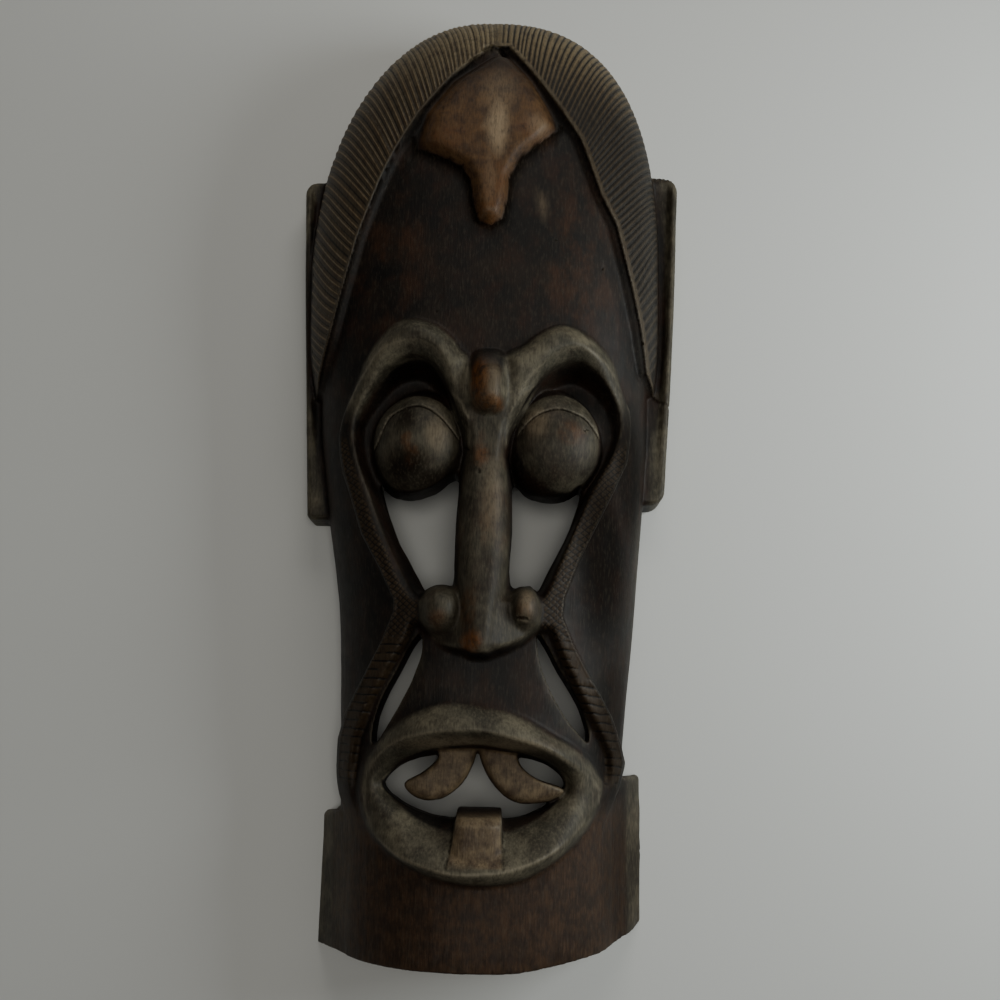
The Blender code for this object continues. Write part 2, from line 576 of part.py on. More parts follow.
def build():
    for old in list(bpy.data.objects):
        bpy.data.objects.remove(old)
    mask = loft("mask", with_skirt(carved_head()))
    mask.data.materials.append(stained_wood())
    facets = mask.modifiers.new("facets", "DECIMATE")
    facets.ratio = FACETS_SHARE
    combine(mask, "beard and ears", "UNION", [
        beard(),
        ear("left_ear", -1, *LEFT_EAR),
        ear("right_ear", 1, *RIGHT_EAR),
    ])
    combine(mask, "hollow and holes", "DIFFERENCE", [
        hollow(),
        through("left_eye_hole", LEFT_HOLE),
        through("right_eye_hole", RIGHT_HOLE),
        through("left_slit", LEFT_SLIT),
        through("right_slit", RIGHT_SLIT),
        through("mouth_hole", MOUTH_HOLE),
    ])
    combine(mask, "teeth", "UNION", [
        upper_tooth("upper_left_tooth", UPPER_LEFT_TOOTH),
        upper_tooth("upper_right_tooth", UPPER_RIGHT_TOOTH),
        lower_tooth(),
    ])
    combine(mask, "ends", "DIFFERENCE", [chin_end(), floor()])


build()
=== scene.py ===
import math

import bpy
import numpy as np
from mathutils import Matrix
from mathutils.kdtree import KDTree


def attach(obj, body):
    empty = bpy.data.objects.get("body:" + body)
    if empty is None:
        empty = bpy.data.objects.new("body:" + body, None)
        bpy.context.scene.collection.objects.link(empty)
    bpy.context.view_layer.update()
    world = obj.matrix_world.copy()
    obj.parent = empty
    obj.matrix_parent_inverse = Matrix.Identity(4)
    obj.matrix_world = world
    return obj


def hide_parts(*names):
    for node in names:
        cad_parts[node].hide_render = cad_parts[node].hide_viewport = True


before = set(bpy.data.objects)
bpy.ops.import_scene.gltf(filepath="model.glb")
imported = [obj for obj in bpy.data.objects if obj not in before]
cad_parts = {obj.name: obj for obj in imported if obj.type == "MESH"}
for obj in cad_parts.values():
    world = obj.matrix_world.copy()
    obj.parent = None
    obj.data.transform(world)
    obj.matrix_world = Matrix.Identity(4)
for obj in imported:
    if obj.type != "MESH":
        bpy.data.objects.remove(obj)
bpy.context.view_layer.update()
mm = 0.001  # lengths below are in millimetres, and x and y are places in plan
chance = np.random.default_rng(11)
print("loaded the packed mask")

# The head before it is carved: half widths and squareness along it, from the chin up, then its dome
head = {
    "stations": (-300, -200, -150, -105, -42, 10, 60, 120),
    "left": (80, 84, 86, 89, 99, 107, 116, 119),
    "right": (88, 88, 92, 96, 101, 105, 111.5, 113),
    "squareness": (2.05, 2.1, 2.25, 2.35, 2.45, 2.5, 2.5, 2.5),
    "faceHeight": 87, "domeHeight": 96, "domeStep": (10, 60),
    "chinDroop": 0.97, "chinDroopEnds": (-300, -200),
    "leftArch": 2.15, "rightArch": 2.7, "domeCurve": 3.0,
    "top": 300, "rows": 640, "domeRows": 0.3, "columns": 350, "wearPasses": 2,
}

# What is carved into it or stands out from it
relief = {
    "hair": 6, "ornament": 9, "brow": 10, "cheekBand": 4, "lip": 9, "lipCorner": 3, "philtrum": 8,
    "socketFloor": 61, "mouthEdge": 61,
    "hairEdge": 2, "temples": (0, 60), "ornamentLow": 7, "ornamentHigh": 13, "bandEdge": 1.6, "browEdge": 13,
    "browFoot": (0, 44), "bandFoot": (-232, -200), "facetShare": 0.5, "facetSlope": 0.4,
    "philtrumEdge": 5, "philtrumFoot": (-232, -188), "socketWall": 1.5, "lipWall": 0.6,
    "lipCornerFrom": (38, 66), "mouthMiddle": 3,
}

foreheadLeft = ((-1, 254), (-25, 229), (-45, 202), (-60, 176), (-68, 158), (-81, 123), (-90, 89), (-97, 63),
                (-107, 35), (-128, 22))
foreheadRight = ((128, 30), (112, 38), (100, 47), (95, 72), (89, 96), (78, 134), (68, 151), (55, 186),
                 (39, 210), (9, 254))
forehead = foreheadLeft + ((-140, -320), (140, -320)) + foreheadRight
ornamentTop = ((42, 193), (37, 206), (26, 228), (12, 247), (2, 251), (-26, 227), (-42, 203), (-47, 178),
               (-44, 40), (39, 40))
ornamentFoot = ((-70, 330), (-47, 178), (-31, 170), (-18, 163), (-12.5, 153), (-10.5, 139), (-7, 128),
                (1, 124.5), (8, 129), (11, 141), (12, 156), (19, 170), (29, 180), (42, 193), (70, 330))
cheekBands = ((-79, 31), (-84, 18), (-86, 8), (-87, -3), (-86, -12), (-83, -25), (-78, -38), (-70, -62),
              (-58, -83), (-49, -101), (-49, -108), (-55, -124), (-68, -149), (-76, -164), (-81, -179),
              (-82, -195), (-80, -212), (-73, -236), (0, -240), (72, -236), (80, -212), (87, -190),
              (83, -178), (76, -162), (64, -143), (54, -125), (47, -109), (48, -98), (56, -77), (67, -54),
              (76, -35), (85, -14), (87, 1), (88, 8), (89, 20), (84, 34), (80, 46), (-73, 46))
leftBrow = ((-86, 8), (-84, 18), (-79, 31), (-73, 45), (-66, 55), (-57, 64), (-47, 67), (-37, 65), (-28, 61),
            (-20, 54), (-14, 46), (-8, 38), (-8, 4), (-40, -6), (-76, -2))
rightBrow = ((9, 37), (13, 45), (21, 49), (30, 57), (39, 63), (47, 65), (56, 63), (65, 59), (73, 53), (80, 45),
             (84, 34), (89, 20), (88, 4), (76, -2), (40, -6), (9, 4))
leftSocket = ((-83, 12), (-79, 24), (-75, 31), (-67, 42), (-60, 47), (-52, 49), (-43, 50), (-35, 48), (-28, 43),
              (-23, 34), (-18, 22), (-12, 8), (-6, -6), (-6, -60), (-10, -96), (-31, -103), (-43, -95),
              (-53, -75), (-63, -55), (-74, -28), (-82, -4))
leftSocketFloor = ((-70, 4), (-63, 21), (-54, 31), (-43, 35), (-32, 31), (-22, 16), (-15, -5), (-10, -40),
                   (-11, -88), (-24, -92), (-31, -95), (-44, -74), (-52, -58), (-61, -34), (-68, -16))
leftEyeHole = ((-62, -30), (-54, -35), (-42, -37), (-29, -33), (-15, -25), (-15, -57), (-16, -90), (-24, -91),
               (-31, -95), (-37, -86), (-44, -74), (-52, -59))
rightSocket = ((88, 12), (88, 20), (85, 28), (76, 39), (66, 46), (56, 49), (45, 46), (32, 36), (23, 25),
               (15, 10), (9, -5), (8, -60), (12, -98), (33, -103), (45, -77), (54, -53), (67, -28), (78, -8))
rightSocketFloor = ((75, 4), (70, 24), (58, 34), (47, 34), (36, 26), (26, 12), (18, -8), (12, -40), (12, -88),
                    (28, -90), (33, -93), (46, -68), (54, -51), (60, -32), (70, -14))
rightEyeHole = ((59, -30), (50, -35), (41, -37), (32, -36), (25, -33), (17.5, -28), (17.5, -58), (17, -89),
                (29, -89), (33, -93), (39, -82), (47, -66), (54, -50))
philtrum = ((-38, -112), (-41, -122), (-53, -143), (-61, -157), (-69, -179), (-71, -196), (-70, -216),
            (-62, -234), (0, -250), (66, -232), (74, -212), (77, -194), (76, -184), (68, -169), (57, -150),
            (48, -131), (41, -114))
leftSlit = ((-33, -120), (-32, -130), (-35, -140), (-39, -150), (-47, -165), (-57, -181), (-60, -180),
            (-59, -170), (-55, -157), (-47, -142), (-38, -125))
rightSlit = ((33, -118), (38, -124), (46, -138), (54, -150), (60, -161), (64, -172), (64, -179), (61, -177),
             (52, -168), (44, -156), (38, -144), (34, -132))
lipEdge = ((-66, -208), (-64, -192), (-57, -181), (-45, -169), (-32, -162), (-17, -158), (0, -159), (17, -162),
           (30, -167), (42, -174), (55, -181), (66, -190), (74, -202), (71, -215), (63, -228), (50, -240),
           (31, -251), (13, -255), (-5, -255), (-23, -252), (-38, -246), (-51, -238), (-62, -227))
lipCrest = ((-63, -210), (-61, -196), (-53, -186), (-44, -180), (-31, -176), (-15, -174), (5, -174), (23, -178),
            (36, -182), (50, -189), (61, -196), (71, -205), (65, -217), (53, -230), (37, -240), (19, -246),
            (1, -248), (-13, -248), (-31, -244), (-47, -237), (-58, -226))
mouthHole = ((-53, -205), (-49, -198), (-41, -192), (-24, -187), (0, -185), (22, -187), (37, -190), (47, -196),
             (51, -203), (46, -210), (33, -218), (17, -222), (-11, -222), (-26, -220), (-42, -214))

# Eyes: middle, half width and half length of each ball
eyes = {
    "balls": ((-36.5, -6.5, 29, 34), (40.5, -4.5, 28, 34)), "height": 88, "lid": 0.8, "lidEdge": 0.7,
    "lidLineDepth": 0.35,
}

nose = {
    "middle": 1, "stations": (-133.5, -132, -128.5, -122, -107, -92, -78, -45, -27, -14, 8),
    "halfWidths": (4, 8, 10, 11, 13.5, 16, 17, 16.5, 15, 13, 11),
    "shares": (0.5, 0.8, 0.97, 1.0, 0.87, 0.7, 0.58, 0.38, 0.25, 0.0, 0.1),
    "bridge": 90, "tip": 105.6, "squareness": 2.7,
    "wings": ((-34, -107), (-32.5, -118.5), (-25.5, -128), (-14.5, -132.6), (-1, -133.8), (12, -133),
              (20, -129.5), (28, -125), (33.5, -118.5), (35, -106), (18, -98), (-18, -98)),
    "wingEdge": 5, "wingFalls": (1.0, 0.6),
    "nostrils": ((-21, -107, 14.5, 16.5), (25, -106.5, 11, 16)), "nostrilHeight": 101, "nostrilSquareness": 2.3,
    "knobs": ((2, 26, 15, 24, 99), (3, 21.5, 10.5, 17, 105)), "knobSquareness": 3.0,
}

teeth = {
    "upper": (((-21, -178), (-21, -187), (-24, -192), (-30, -197), (-40, -203), (-36, -209), (-28, -212),
               (-19, -211), (-10, -205), (-4, -197), (0, -186), (0, -178)),
              ((2, -178), (2, -187), (6, -197), (13, -206), (22, -212), (31, -213), (42, -211), (50, -205),
               (36, -200), (27, -194), (23, -187), (22, -178))),
    "root": 49, "upperHeight": 70, "roundness": ((6, 1.0), (2, 0.93), (0.6, 0.8), (0, 0.55)),
    "lowerLeft": (-14.2, -9.5), "lowerRight": (16.3, 15), "lowerEnds": (-246, -224, -219.5, -216),
    "lowerHeights": (89, 89, 85, 66), "lowerCrown": 4,
}

ears = {
    "left": ((-45, 186), (111, 119, 125.4), (3, 9)),
    "right": ((-31, 195), (114, 121, 125.4), (9, 10)),
    "root": 93, "height": 26, "rounding": 3, "endDrop": 2, "channel": 5, "rings": 120, "across": 24,
}

beard = {
    "halfWidths": (95, 102), "flareHeight": 45, "shoulders": (-223, -197), "seam": 1.5, "belowLips": 4,
    "rows": 60, "columns": 160, "corner": 3.5,
    "chinCut": ((12, -300), (30, -299), (48, -296.8), (61, -295), (75, -293), (86, -290), (95, -286.5),
                (100, -283), (104, -278)),
}

hollow = {
    "sideWall": 15, "chinWall": 20, "face": 51, "dome": 74, "step": (55, 120), "squareness": 2.8,
    "rows": 150, "columns": 110,
}
chinStart = head["stations"][0] - 4  # the head and the beard start past the chin, and are cut to its curve


def eased(stations, values, where):
    # a smooth curve through a few values, level past its ends
    stations, values = np.asarray(stations, float), np.asarray(values, float)
    where = np.clip(where, stations[0], stations[-1])
    i = np.clip(np.searchsorted(stations, where) - 1, 0, len(stations) - 2)
    span = stations[i + 1] - stations[i]
    t = (where - stations[i]) / span
    slope = np.gradient(values, stations)
    bend = t * (1 - t) * span * ((1 - t) * slope[i] - t * slope[i + 1])
    return values[i] + (values[i + 1] - values[i]) * (3 - 2 * t) * t * t + bend


def ramp(distance, width):
    # 0 outside an edge and 1 from width inside it on
    t = np.clip(distance / width, 0, 1)
    return t * t * (3 - 2 * t)


def swell(distance, width):
    # a rounded rise from an edge, steep at first
    return np.sin(np.clip(distance / width, 0, 1) * np.pi / 2)


def thinLine(distance, width):
    # 1 on a line, fading away to both sides
    return np.exp(-(distance / width) ** 2)


def roundOff(into, radius):
    # how much a rounded corner takes off, from 0 where it starts to its radius at its end
    turned = np.clip(into / radius, 0, 1)
    return radius * (1 - np.sqrt(1 - turned ** 2))


def rounded(points, steps=4):
    # a closed smooth outline through points
    points = np.asarray(points, float)
    before, after, later = (np.roll(points, shift, axis=0) for shift in (1, -1, -2))
    rows = []
    for t in np.arange(steps) / steps:
        rows.append(0.5 * (2 * points + (after - before) * t
                           + (2 * before - 5 * points + 4 * after - later) * t ** 2
                           + (3 * points - before - 3 * after + later) * t ** 3))
    return np.stack(rows, axis=1).reshape(-1, 2)


def depthInside(outline, x, y, reach=30.0):
    # how far each place lies inside a closed outline, negative outside it, down to minus reach
    outline = np.asarray(outline, float)
    low, high = outline.min(axis=0) - reach, outline.max(axis=0) + reach
    near = (x > low[0]) & (x < high[0]) & (y > low[1]) & (y < high[1])
    px, py = x[near], y[near]
    nearest = np.full(px.shape, reach * reach)
    inside = np.zeros(px.shape, bool)
    for (ax, ay), (bx, by) in zip(outline, np.roll(outline, -1, axis=0)):
        run, climb = bx - ax, by - ay
        dx, dy = px - ax, py - ay
        t = np.clip((dx * run + dy * climb) / max(run * run + climb * climb, 1e-12), 0, 1)
        nearest = np.minimum(nearest, (dx - t * run) ** 2 + (dy - t * climb) ** 2)
        if climb:
            inside ^= ((ay > py) != (by > py)) & (px < ax + dy * run / climb)
    depth = np.full(x.shape, -reach)
    depth[near] = np.where(inside, 1, -1) * np.sqrt(nearest)
    return depth


def between(inner, outer, x, y):
    # 0 on the inner outline and 1 on the outer one
    fromInner = np.maximum(-depthInside(inner, x, y, 60.0), 0)
    fromOuter = np.maximum(depthInside(outer, x, y, 60.0), 0)
    return fromInner / np.maximum(fromInner + fromOuter, 1e-9)


def domeShare(y, power):
    t = np.clip((y - head["stations"][-1]) / (head["top"] - head["stations"][-1]), 0, 1)
    return (1 - t ** power) ** (1 / power)


def halfWidths(y):
    left = eased(head["stations"], head["left"], y) * domeShare(y, head["leftArch"])
    right = eased(head["stations"], head["right"], y) * domeShare(y, head["rightArch"])
    return left, right


def crown(y, face, dome, step):
    height = face + (dome - face) * ramp(y - step[0], step[1] - step[0])
    droop = eased(head["chinDroopEnds"], (head["chinDroop"], 1.0), y)
    return height * droop * domeShare(y, head["domeCurve"])


def headShape(y):
    # half widths on the left and right, height and squareness
    height = crown(y, head["faceHeight"], head["domeHeight"], head["domeStep"])
    return (*halfWidths(y), height, eased(head["stations"], head["squareness"], y))


def section(left, right, height, power, columns):
    # half a rounded oblong from the left rim over the top to the right rim
    angle = np.linspace(np.pi, 0, columns)
    across = np.sign(np.cos(angle)) * np.abs(np.cos(angle)) ** (2 / power)
    x = np.where(across < 0, across * left, across * right)
    return np.stack([x, height * np.abs(np.sin(angle)) ** (2 / power)], axis=1)


def places(start, widest, end, rows, domeRows):
    # evenly spaced up to where the dome starts, and closer and closer to its end
    dome = widest + (end - widest) * np.sin(np.linspace(0, 1.547, domeRows)) / np.sin(1.547)
    return np.concatenate([np.linspace(start, widest, rows - domeRows, endpoint=False), dome])


def ring(y, xz):
    return np.column_stack([xz[:, 0], np.full(len(xz), y), xz[:, 1]])


def plainHead(rows, columns):
    along = places(chinStart, head["stations"][-1], head["top"] - 0.02, rows, int(rows * head["domeRows"]))
    return np.array([ring(y, section(*headShape(y), columns)) for y in along])


def outward(points):
    normal = np.cross(np.gradient(points, axis=1), np.gradient(points, axis=0))
    return normal / np.maximum(np.linalg.norm(normal, axis=2, keepdims=True), 1e-9)


def ornamentShare(x, y):
    # fades into the forehead at its upper sides, and ends sharply at its lower ones
    fromFoot = swell(depthInside(ornamentFoot, x, y), relief["ornamentLow"])
    return swell(depthInside(ornamentTop, x, y), relief["ornamentHigh"]) * fromFoot ** 0.75


def outwardRelief(x, y):
    belowHair = ramp(depthInside(forehead, x, y), relief["hairEdge"])
    temples = ramp(y - relief["temples"][0], relief["temples"][1] - relief["temples"][0])
    raised = relief["ornament"] * ornamentShare(x, y)
    (foot, full), (low, high) = relief["bandFoot"], relief["browFoot"]
    fade = ramp(y - foot, full - foot) * (1 - ramp(y - low, high - low))
    raised = raised + relief["cheekBand"] * fade * ramp(depthInside(cheekBands, x, y), relief["bandEdge"])
    return raised - relief["hair"] * belowHair * temples


def addBrow(height, outline, x, y):
    fade = ramp(y - relief["browFoot"][0], relief["browFoot"][1] - relief["browFoot"][0])
    return height + relief["brow"] * fade * swell(depthInside(rounded(outline), x, y), relief["browEdge"])


def addSocket(height, crest, floorOutline, x, y):
    crest = rounded(crest)
    share = between(rounded(floorOutline), crest, x, y)
    facet, slope = relief["facetShare"], relief["facetSlope"]
    steep = (1 - (1 - facet) * slope) * (share / facet) ** relief["socketWall"]
    wall = np.where(share > facet, 1 - (1 - share) * slope, steep)
    sunk = relief["socketFloor"] + (height - relief["socketFloor"]) * wall
    return np.where(depthInside(crest, x, y) > 0, sunk, height)


def bulge(x, y, middleX, middleY, halfWidth, halfLength, bottom, top, power=2.0):
    away = np.abs((x - middleX) / halfWidth) ** power + np.abs((y - middleY) / halfLength) ** power
    return np.where(away < 1, bottom + (top - bottom) * np.clip(1 - away, 0, 1) ** (1 / power), -np.inf)


def addNose(height, x, y):
    halfWidth = eased(nose["stations"], nose["halfWidths"], y)
    top = nose["bridge"] + (nose["tip"] - nose["bridge"]) * eased(nose["stations"], nose["shares"], y)
    across = np.clip(1 - np.abs((x - nose["middle"]) / halfWidth) ** nose["squareness"], 0, 1)
    onShaft = (across > 0) & (y > nose["stations"][0]) & (y < nose["stations"][-1])
    floorHeight = relief["socketFloor"]
    shaft = floorHeight + (top - floorHeight) * across ** (1 / nose["squareness"])
    height = np.maximum(height, np.where(onShaft, shaft, -np.inf))
    inWings = depthInside(rounded(nose["wings"]), x, y)
    aside = x - nose["middle"]
    wingTop = top - np.abs(aside) * np.where(aside < 0, *nose["wingFalls"])
    wings = floorHeight + (wingTop - floorHeight) * swell(inWings, nose["wingEdge"])
    height = np.maximum(height, np.where(inWings > 0, wings, -np.inf))
    for nostril in nose["nostrils"]:
        height = np.maximum(height, bulge(x, y, *nostril, floorHeight, nose["nostrilHeight"],
                                          nose["nostrilSquareness"]))
    for knob in nose["knobs"]:
        height = np.maximum(height, bulge(x, y, *knob[:4], floorHeight, knob[4], nose["knobSquareness"]))
    return height


def addMouth(height, x, y):
    edge, crest, hole = rounded(lipEdge), rounded(lipCrest), rounded(mouthHole)
    start, end = relief["lipCornerFrom"]
    corner = ramp(np.abs(x - relief["mouthMiddle"]) - start, end - start)
    rise = relief["lip"] + (relief["lipCorner"] - relief["lip"]) * corner
    slope = swell(1 - between(crest, edge, x, y), 1)
    lips = height + rise * np.where(depthInside(edge, x, y) > 0, slope, 0)
    wall = between(hole, crest, x, y) ** relief["lipWall"]
    bowl = relief["mouthEdge"] + (lips - relief["mouthEdge"]) * wall
    return np.where(depthInside(crest, x, y) > 0, bowl, lips)


def carvedFace(height, x, y):
    height = addBrow(addBrow(height, leftBrow, x, y), rightBrow, x, y)
    foot, full = relief["philtrumFoot"]
    sunk = ramp(depthInside(philtrum, x, y), relief["philtrumEdge"]) * ramp(y - foot, full - foot)
    height = height - relief["philtrum"] * sunk
    height = addSocket(height, leftSocket, leftSocketFloor, x, y)
    height = addSocket(height, rightSocket, rightSocketFloor, x, y)
    for ball in eyes["balls"]:
        height = np.maximum(height, bulge(x, y, *ball, relief["socketFloor"], eyes["height"]))
    return addNose(addMouth(height, x, y), x, y)


def worn(height, passes):
    for _ in range(passes):
        beside = height[:-2, 1:-1] + height[2:, 1:-1] + height[1:-1, :-2] + height[1:-1, 2:]
        height[1:-1, 1:-1] = (beside / 4 + height[1:-1, 1:-1]) / 2
    return height


def carvedHead(rows, columns):
    points = plainHead(rows, columns)
    x, y = points[:, :, 0], points[:, :, 1]
    points = points + outward(points) * outwardRelief(x, y)[:, :, None]
    points[:, :, 2] = worn(carvedFace(points[:, :, 2], x, y), head["wearPasses"])
    points[:, [0, -1], 2] = 0
    return points


def beardEnd(x):
    # how far up the beard block reaches, further on the right
    lean = np.clip((x + beard["halfWidths"][0]) / sum(beard["halfWidths"]), 0, 1)
    return beard["shoulders"][0] + (beard["shoulders"][1] - beard["shoulders"][0]) * lean


def beardBlock(rows, columns):
    rings = []
    for share in np.linspace(0, 1, rows):
        y = chinStart + (beard["shoulders"][1] - chinStart) * share
        left, right, height, power = headShape(y)
        xz = section(left, right, height, power, columns)
        low = np.clip(1 - xz[:, 1] / beard["flareHeight"], 0, 1) ** 2
        flares = np.where(xz[:, 0] < 0, left - beard["halfWidths"][0], beard["halfWidths"][1] - right)
        top = np.minimum(xz[:, 1] - beard["seam"], relief["mouthEdge"] - beard["belowLips"])
        points = ring(y, np.column_stack([xz[:, 0] + flares * low, np.maximum(top, 0)]))
        points[:, 1] = chinStart + (beardEnd(points[:, 0]) - chinStart) * share
        rings.append(points)
    return np.array(rings)


def beardSide(x, y, z):
    # how wide the flared beard is at a height, on the side of x, and how far along it a place lies
    reach = beardEnd(x) - chinStart
    share = (y - chinStart) / reach
    row = chinStart + (beard["shoulders"][1] - chinStart) * np.clip(share, 0, 1)
    left, right, height, power = headShape(row)
    tall = np.clip((z + beard["seam"]) / height, 0, 1)
    side = np.where(x < 0, left, right) * (1 - tall ** power) ** (1 / power)
    flares = np.where(x < 0, beard["halfWidths"][0] - left, beard["halfWidths"][1] - right)
    side = side + flares * np.clip(1 - (z + beard["seam"]) / beard["flareHeight"], 0, 1) ** 2
    return side - roundOff(beard["corner"] - (1 - share) * reach, beard["corner"]), share


def hollowTop(rows, columns):
    last, widest = head["top"] - hollow["sideWall"], head["stations"][-1]
    rings = []
    for y in places(head["stations"][0] + hollow["chinWall"], widest, last, rows, rows // 3):
        stretched = widest + (y - widest) * (head["top"] - widest) / (last - widest)
        matching = min(stretched, head["top"] - 0.02) if y > widest else y
        wall = hollow["sideWall"] * domeShare(matching, head["leftArch"])
        left, right = (width - wall for width in halfWidths(matching))
        height = crown(matching, hollow["face"], hollow["dome"], hollow["step"])
        rings.append(ring(y, section(left, right, height, hollow["squareness"], columns)))
    return np.array(rings)


def earTop(side, ends, reaches, corners):
    def place(rows, columns):
        bottom, top = ends
        t = np.linspace(0, 1, rows)
        along = bottom + (top - bottom) * (t - np.sin(2 * np.pi * t) / (2 * np.pi) * 0.9)
        share = (along - bottom) / (top - bottom)
        cut = roundOff(bottom + corners[0] - along, corners[0]) + roundOff(along - top + corners[1], corners[1])
        reach = (eased((0, 0.5, 1), reaches, share) - cut)[:, None]
        x = ears["root"] + (reach - ears["root"]) * np.linspace(0, 1, columns)[None, :]
        fromEdge = reach - x
        sink = ears["channel"] * (ramp(share, 0.5) * ramp(1 - share, 0.08))[:, None]
        rim = roundOff(ears["rounding"] - fromEdge, ears["rounding"])
        z = ears["height"] - rim - sink * ramp(fromEdge - ears["rounding"], 4)
        z = z - ears["endDrop"] * (1 - ramp(share, 0.012) * ramp(1 - share, 0.012))[:, None]
        return np.stack([side * x, np.repeat(along[:, None], columns, axis=1), z], axis=2)
    return place


def lowerToothSides(y):
    ends = (teeth["lowerEnds"][0], teeth["lowerEnds"][-1])
    return np.interp(y, ends, teeth["lowerLeft"]), np.interp(y, ends, teeth["lowerRight"])


def lowerToothTop(rows, columns):
    y = np.linspace(teeth["lowerEnds"][0], teeth["lowerEnds"][-1], rows)
    left, right = lowerToothSides(y)
    across = np.linspace(0, 1, columns)
    height = np.interp(y, teeth["lowerEnds"], teeth["lowerHeights"])
    grid = np.zeros((rows, columns, 3))
    grid[:, :, 0] = left[:, None] + (right - left)[:, None] * across[None, :]
    grid[:, :, 1] = y[:, None]
    grid[:, :, 2] = height[:, None] - teeth["lowerCrown"] * (2 * across - 1)[None, :] ** 4
    return grid


# Blender steps that the pieces share

def selectOnly(piece):
    bpy.ops.object.select_all(action="DESELECT")
    piece.select_set(True)
    bpy.context.view_layer.objects.active = piece


def readAll(items, field, width=1, kind=float):
    flat = np.empty(len(items) * width, dtype=kind)
    items.foreach_get(field, flat)
    return flat.reshape(-1, width) if width > 1 else flat


def readPoints(piece):
    return readAll(piece.data.vertices, "co", 3) / mm, readAll(piece.data.vertex_normals, "vector", 3)


def writePoints(piece, points):
    piece.data.vertices.foreach_set("co", np.ascontiguousarray(points * mm, float).ravel())
    piece.data.update()


def closeEdit():
    bpy.ops.mesh.select_all(action="SELECT")
    bpy.ops.mesh.normals_make_consistent(inside=False)
    bpy.ops.object.mode_set(mode="OBJECT")


def block(name, rows, columns, place, low):
    # a grid primitive whose points are put where place says, with its edge drawn down to low and filled
    bpy.ops.object.select_all(action="DESELECT")
    bpy.ops.mesh.primitive_grid_add(x_subdivisions=columns - 1, y_subdivisions=rows - 1, size=2)
    piece = bpy.context.object
    piece.name = name
    flat = readAll(piece.data.vertices, "co", 3)
    column = np.rint((flat[:, 0] + 1) / 2 * (columns - 1)).astype(int)
    row = np.rint((flat[:, 1] + 1) / 2 * (rows - 1)).astype(int)
    writePoints(piece, place(rows, columns)[row, column])
    bpy.ops.object.mode_set(mode="EDIT")
    bpy.ops.mesh.select_mode(type="EDGE")
    bpy.ops.mesh.select_all(action="DESELECT")
    bpy.ops.mesh.select_non_manifold()
    bpy.ops.mesh.extrude_edges_move(TRANSFORM_OT_translate={"value": (0, 0, -0.2)})
    bpy.ops.transform.resize(value=(1, 1, 0), center_override=(0, 0, low * mm))
    bpy.ops.mesh.edge_face_add()
    closeEdit()
    return piece


def prism(name, outline, low, levels):
    # an outline drawn up through levels of (height, share of its size)
    outline = np.asarray(outline, float)
    middle = outline.mean(axis=0)
    bpy.ops.object.select_all(action="DESELECT")
    bpy.ops.mesh.primitive_circle_add(vertices=len(outline), radius=1, fill_type="NGON")
    piece = bpy.context.object
    piece.name = name
    writePoints(piece, np.column_stack([outline, np.full(len(outline), low)]))
    bpy.ops.object.mode_set(mode="EDIT")
    bpy.ops.mesh.select_all(action="SELECT")
    height, size = low, 1.0
    for level, share in levels:
        bpy.ops.mesh.extrude_region_move(TRANSFORM_OT_translate={"value": (0, 0, (level - height) * mm)})
        bpy.ops.transform.resize(value=(share / size, share / size, 1),
                                 center_override=(middle[0] * mm, middle[1] * mm, 0))
        height, size = level, share
    closeEdit()
    return piece


def applyStep(piece, name, kind, **settings):
    selectOnly(piece)
    step = piece.modifiers.new(name, kind)
    for key, value in settings.items():
        setattr(step, key, value)
    bpy.ops.object.modifier_apply(modifier=step.name)


def carve(piece, operation, tools):
    for tool in tools:
        applyStep(piece, tool.name, "BOOLEAN", operation=operation, object=tool, solver="MANIFOLD")
        bpy.data.objects.remove(tool)


# The carved block with its hollow back and its openings
fineness = 1.0
below, above = -10, 200
mask = block("carvedMask", int(head["rows"] * fineness), int(head["columns"] * fineness), carvedHead, below)
carve(mask, "UNION", [
    block("beardBlock", beard["rows"], beard["columns"], beardBlock, below),
    block("leftEar", ears["rings"], ears["across"], earTop(-1, *ears["left"]), below),
    block("rightEar", ears["rings"], ears["across"], earTop(1, *ears["right"]), below),
])
print("carved the outside")
chinX = np.linspace(beard["chinCut"][0][0], beard["chinCut"][-1][0], 40)
chinCurve = tuple(zip(chinX, eased(*zip(*beard["chinCut"]), chinX)))
carve(mask, "DIFFERENCE", [
    block("hollowBack", hollow["rows"], hollow["columns"], hollowTop, 2 * below),
] + [
    prism(name, rounded(outline), 2 * below, ((above, 1),))
    for name, outline in (("leftEyeHole", leftEyeHole), ("rightEyeHole", rightEyeHole), ("leftSlit", leftSlit),
                          ("rightSlit", rightSlit), ("mouthHole", mouthHole))
] + [
    prism("chinEnd", ((-250, -300),) + chinCurve + ((250, -278), (250, -600), (-250, -600)), 2 * below,
          ((above, 1),)),
    prism("underRim", ((-250, -600), (250, -600), (250, 600), (-250, 600)), 4 * below, ((0, 1),)),
])
carve(mask, "UNION", [
    prism(name, rounded(outline), teeth["root"],
          [(teeth["upperHeight"] - drop, share) for drop, share in teeth["roundness"]])
    for name, outline in zip(("upperLeftTooth", "upperRightTooth"), teeth["upper"])
] + [block("lowerTooth", 40, 30, lowerToothTop, teeth["root"])])
print("cut the hollow, the openings and the teeth:", len(mask.data.polygons), "faces")
applyStep(mask, "wornEdges", "REMESH", mode="VOXEL", voxel_size=0.95 * mm)
applyStep(mask, "handling", "SMOOTH", factor=0.5, iterations=2)
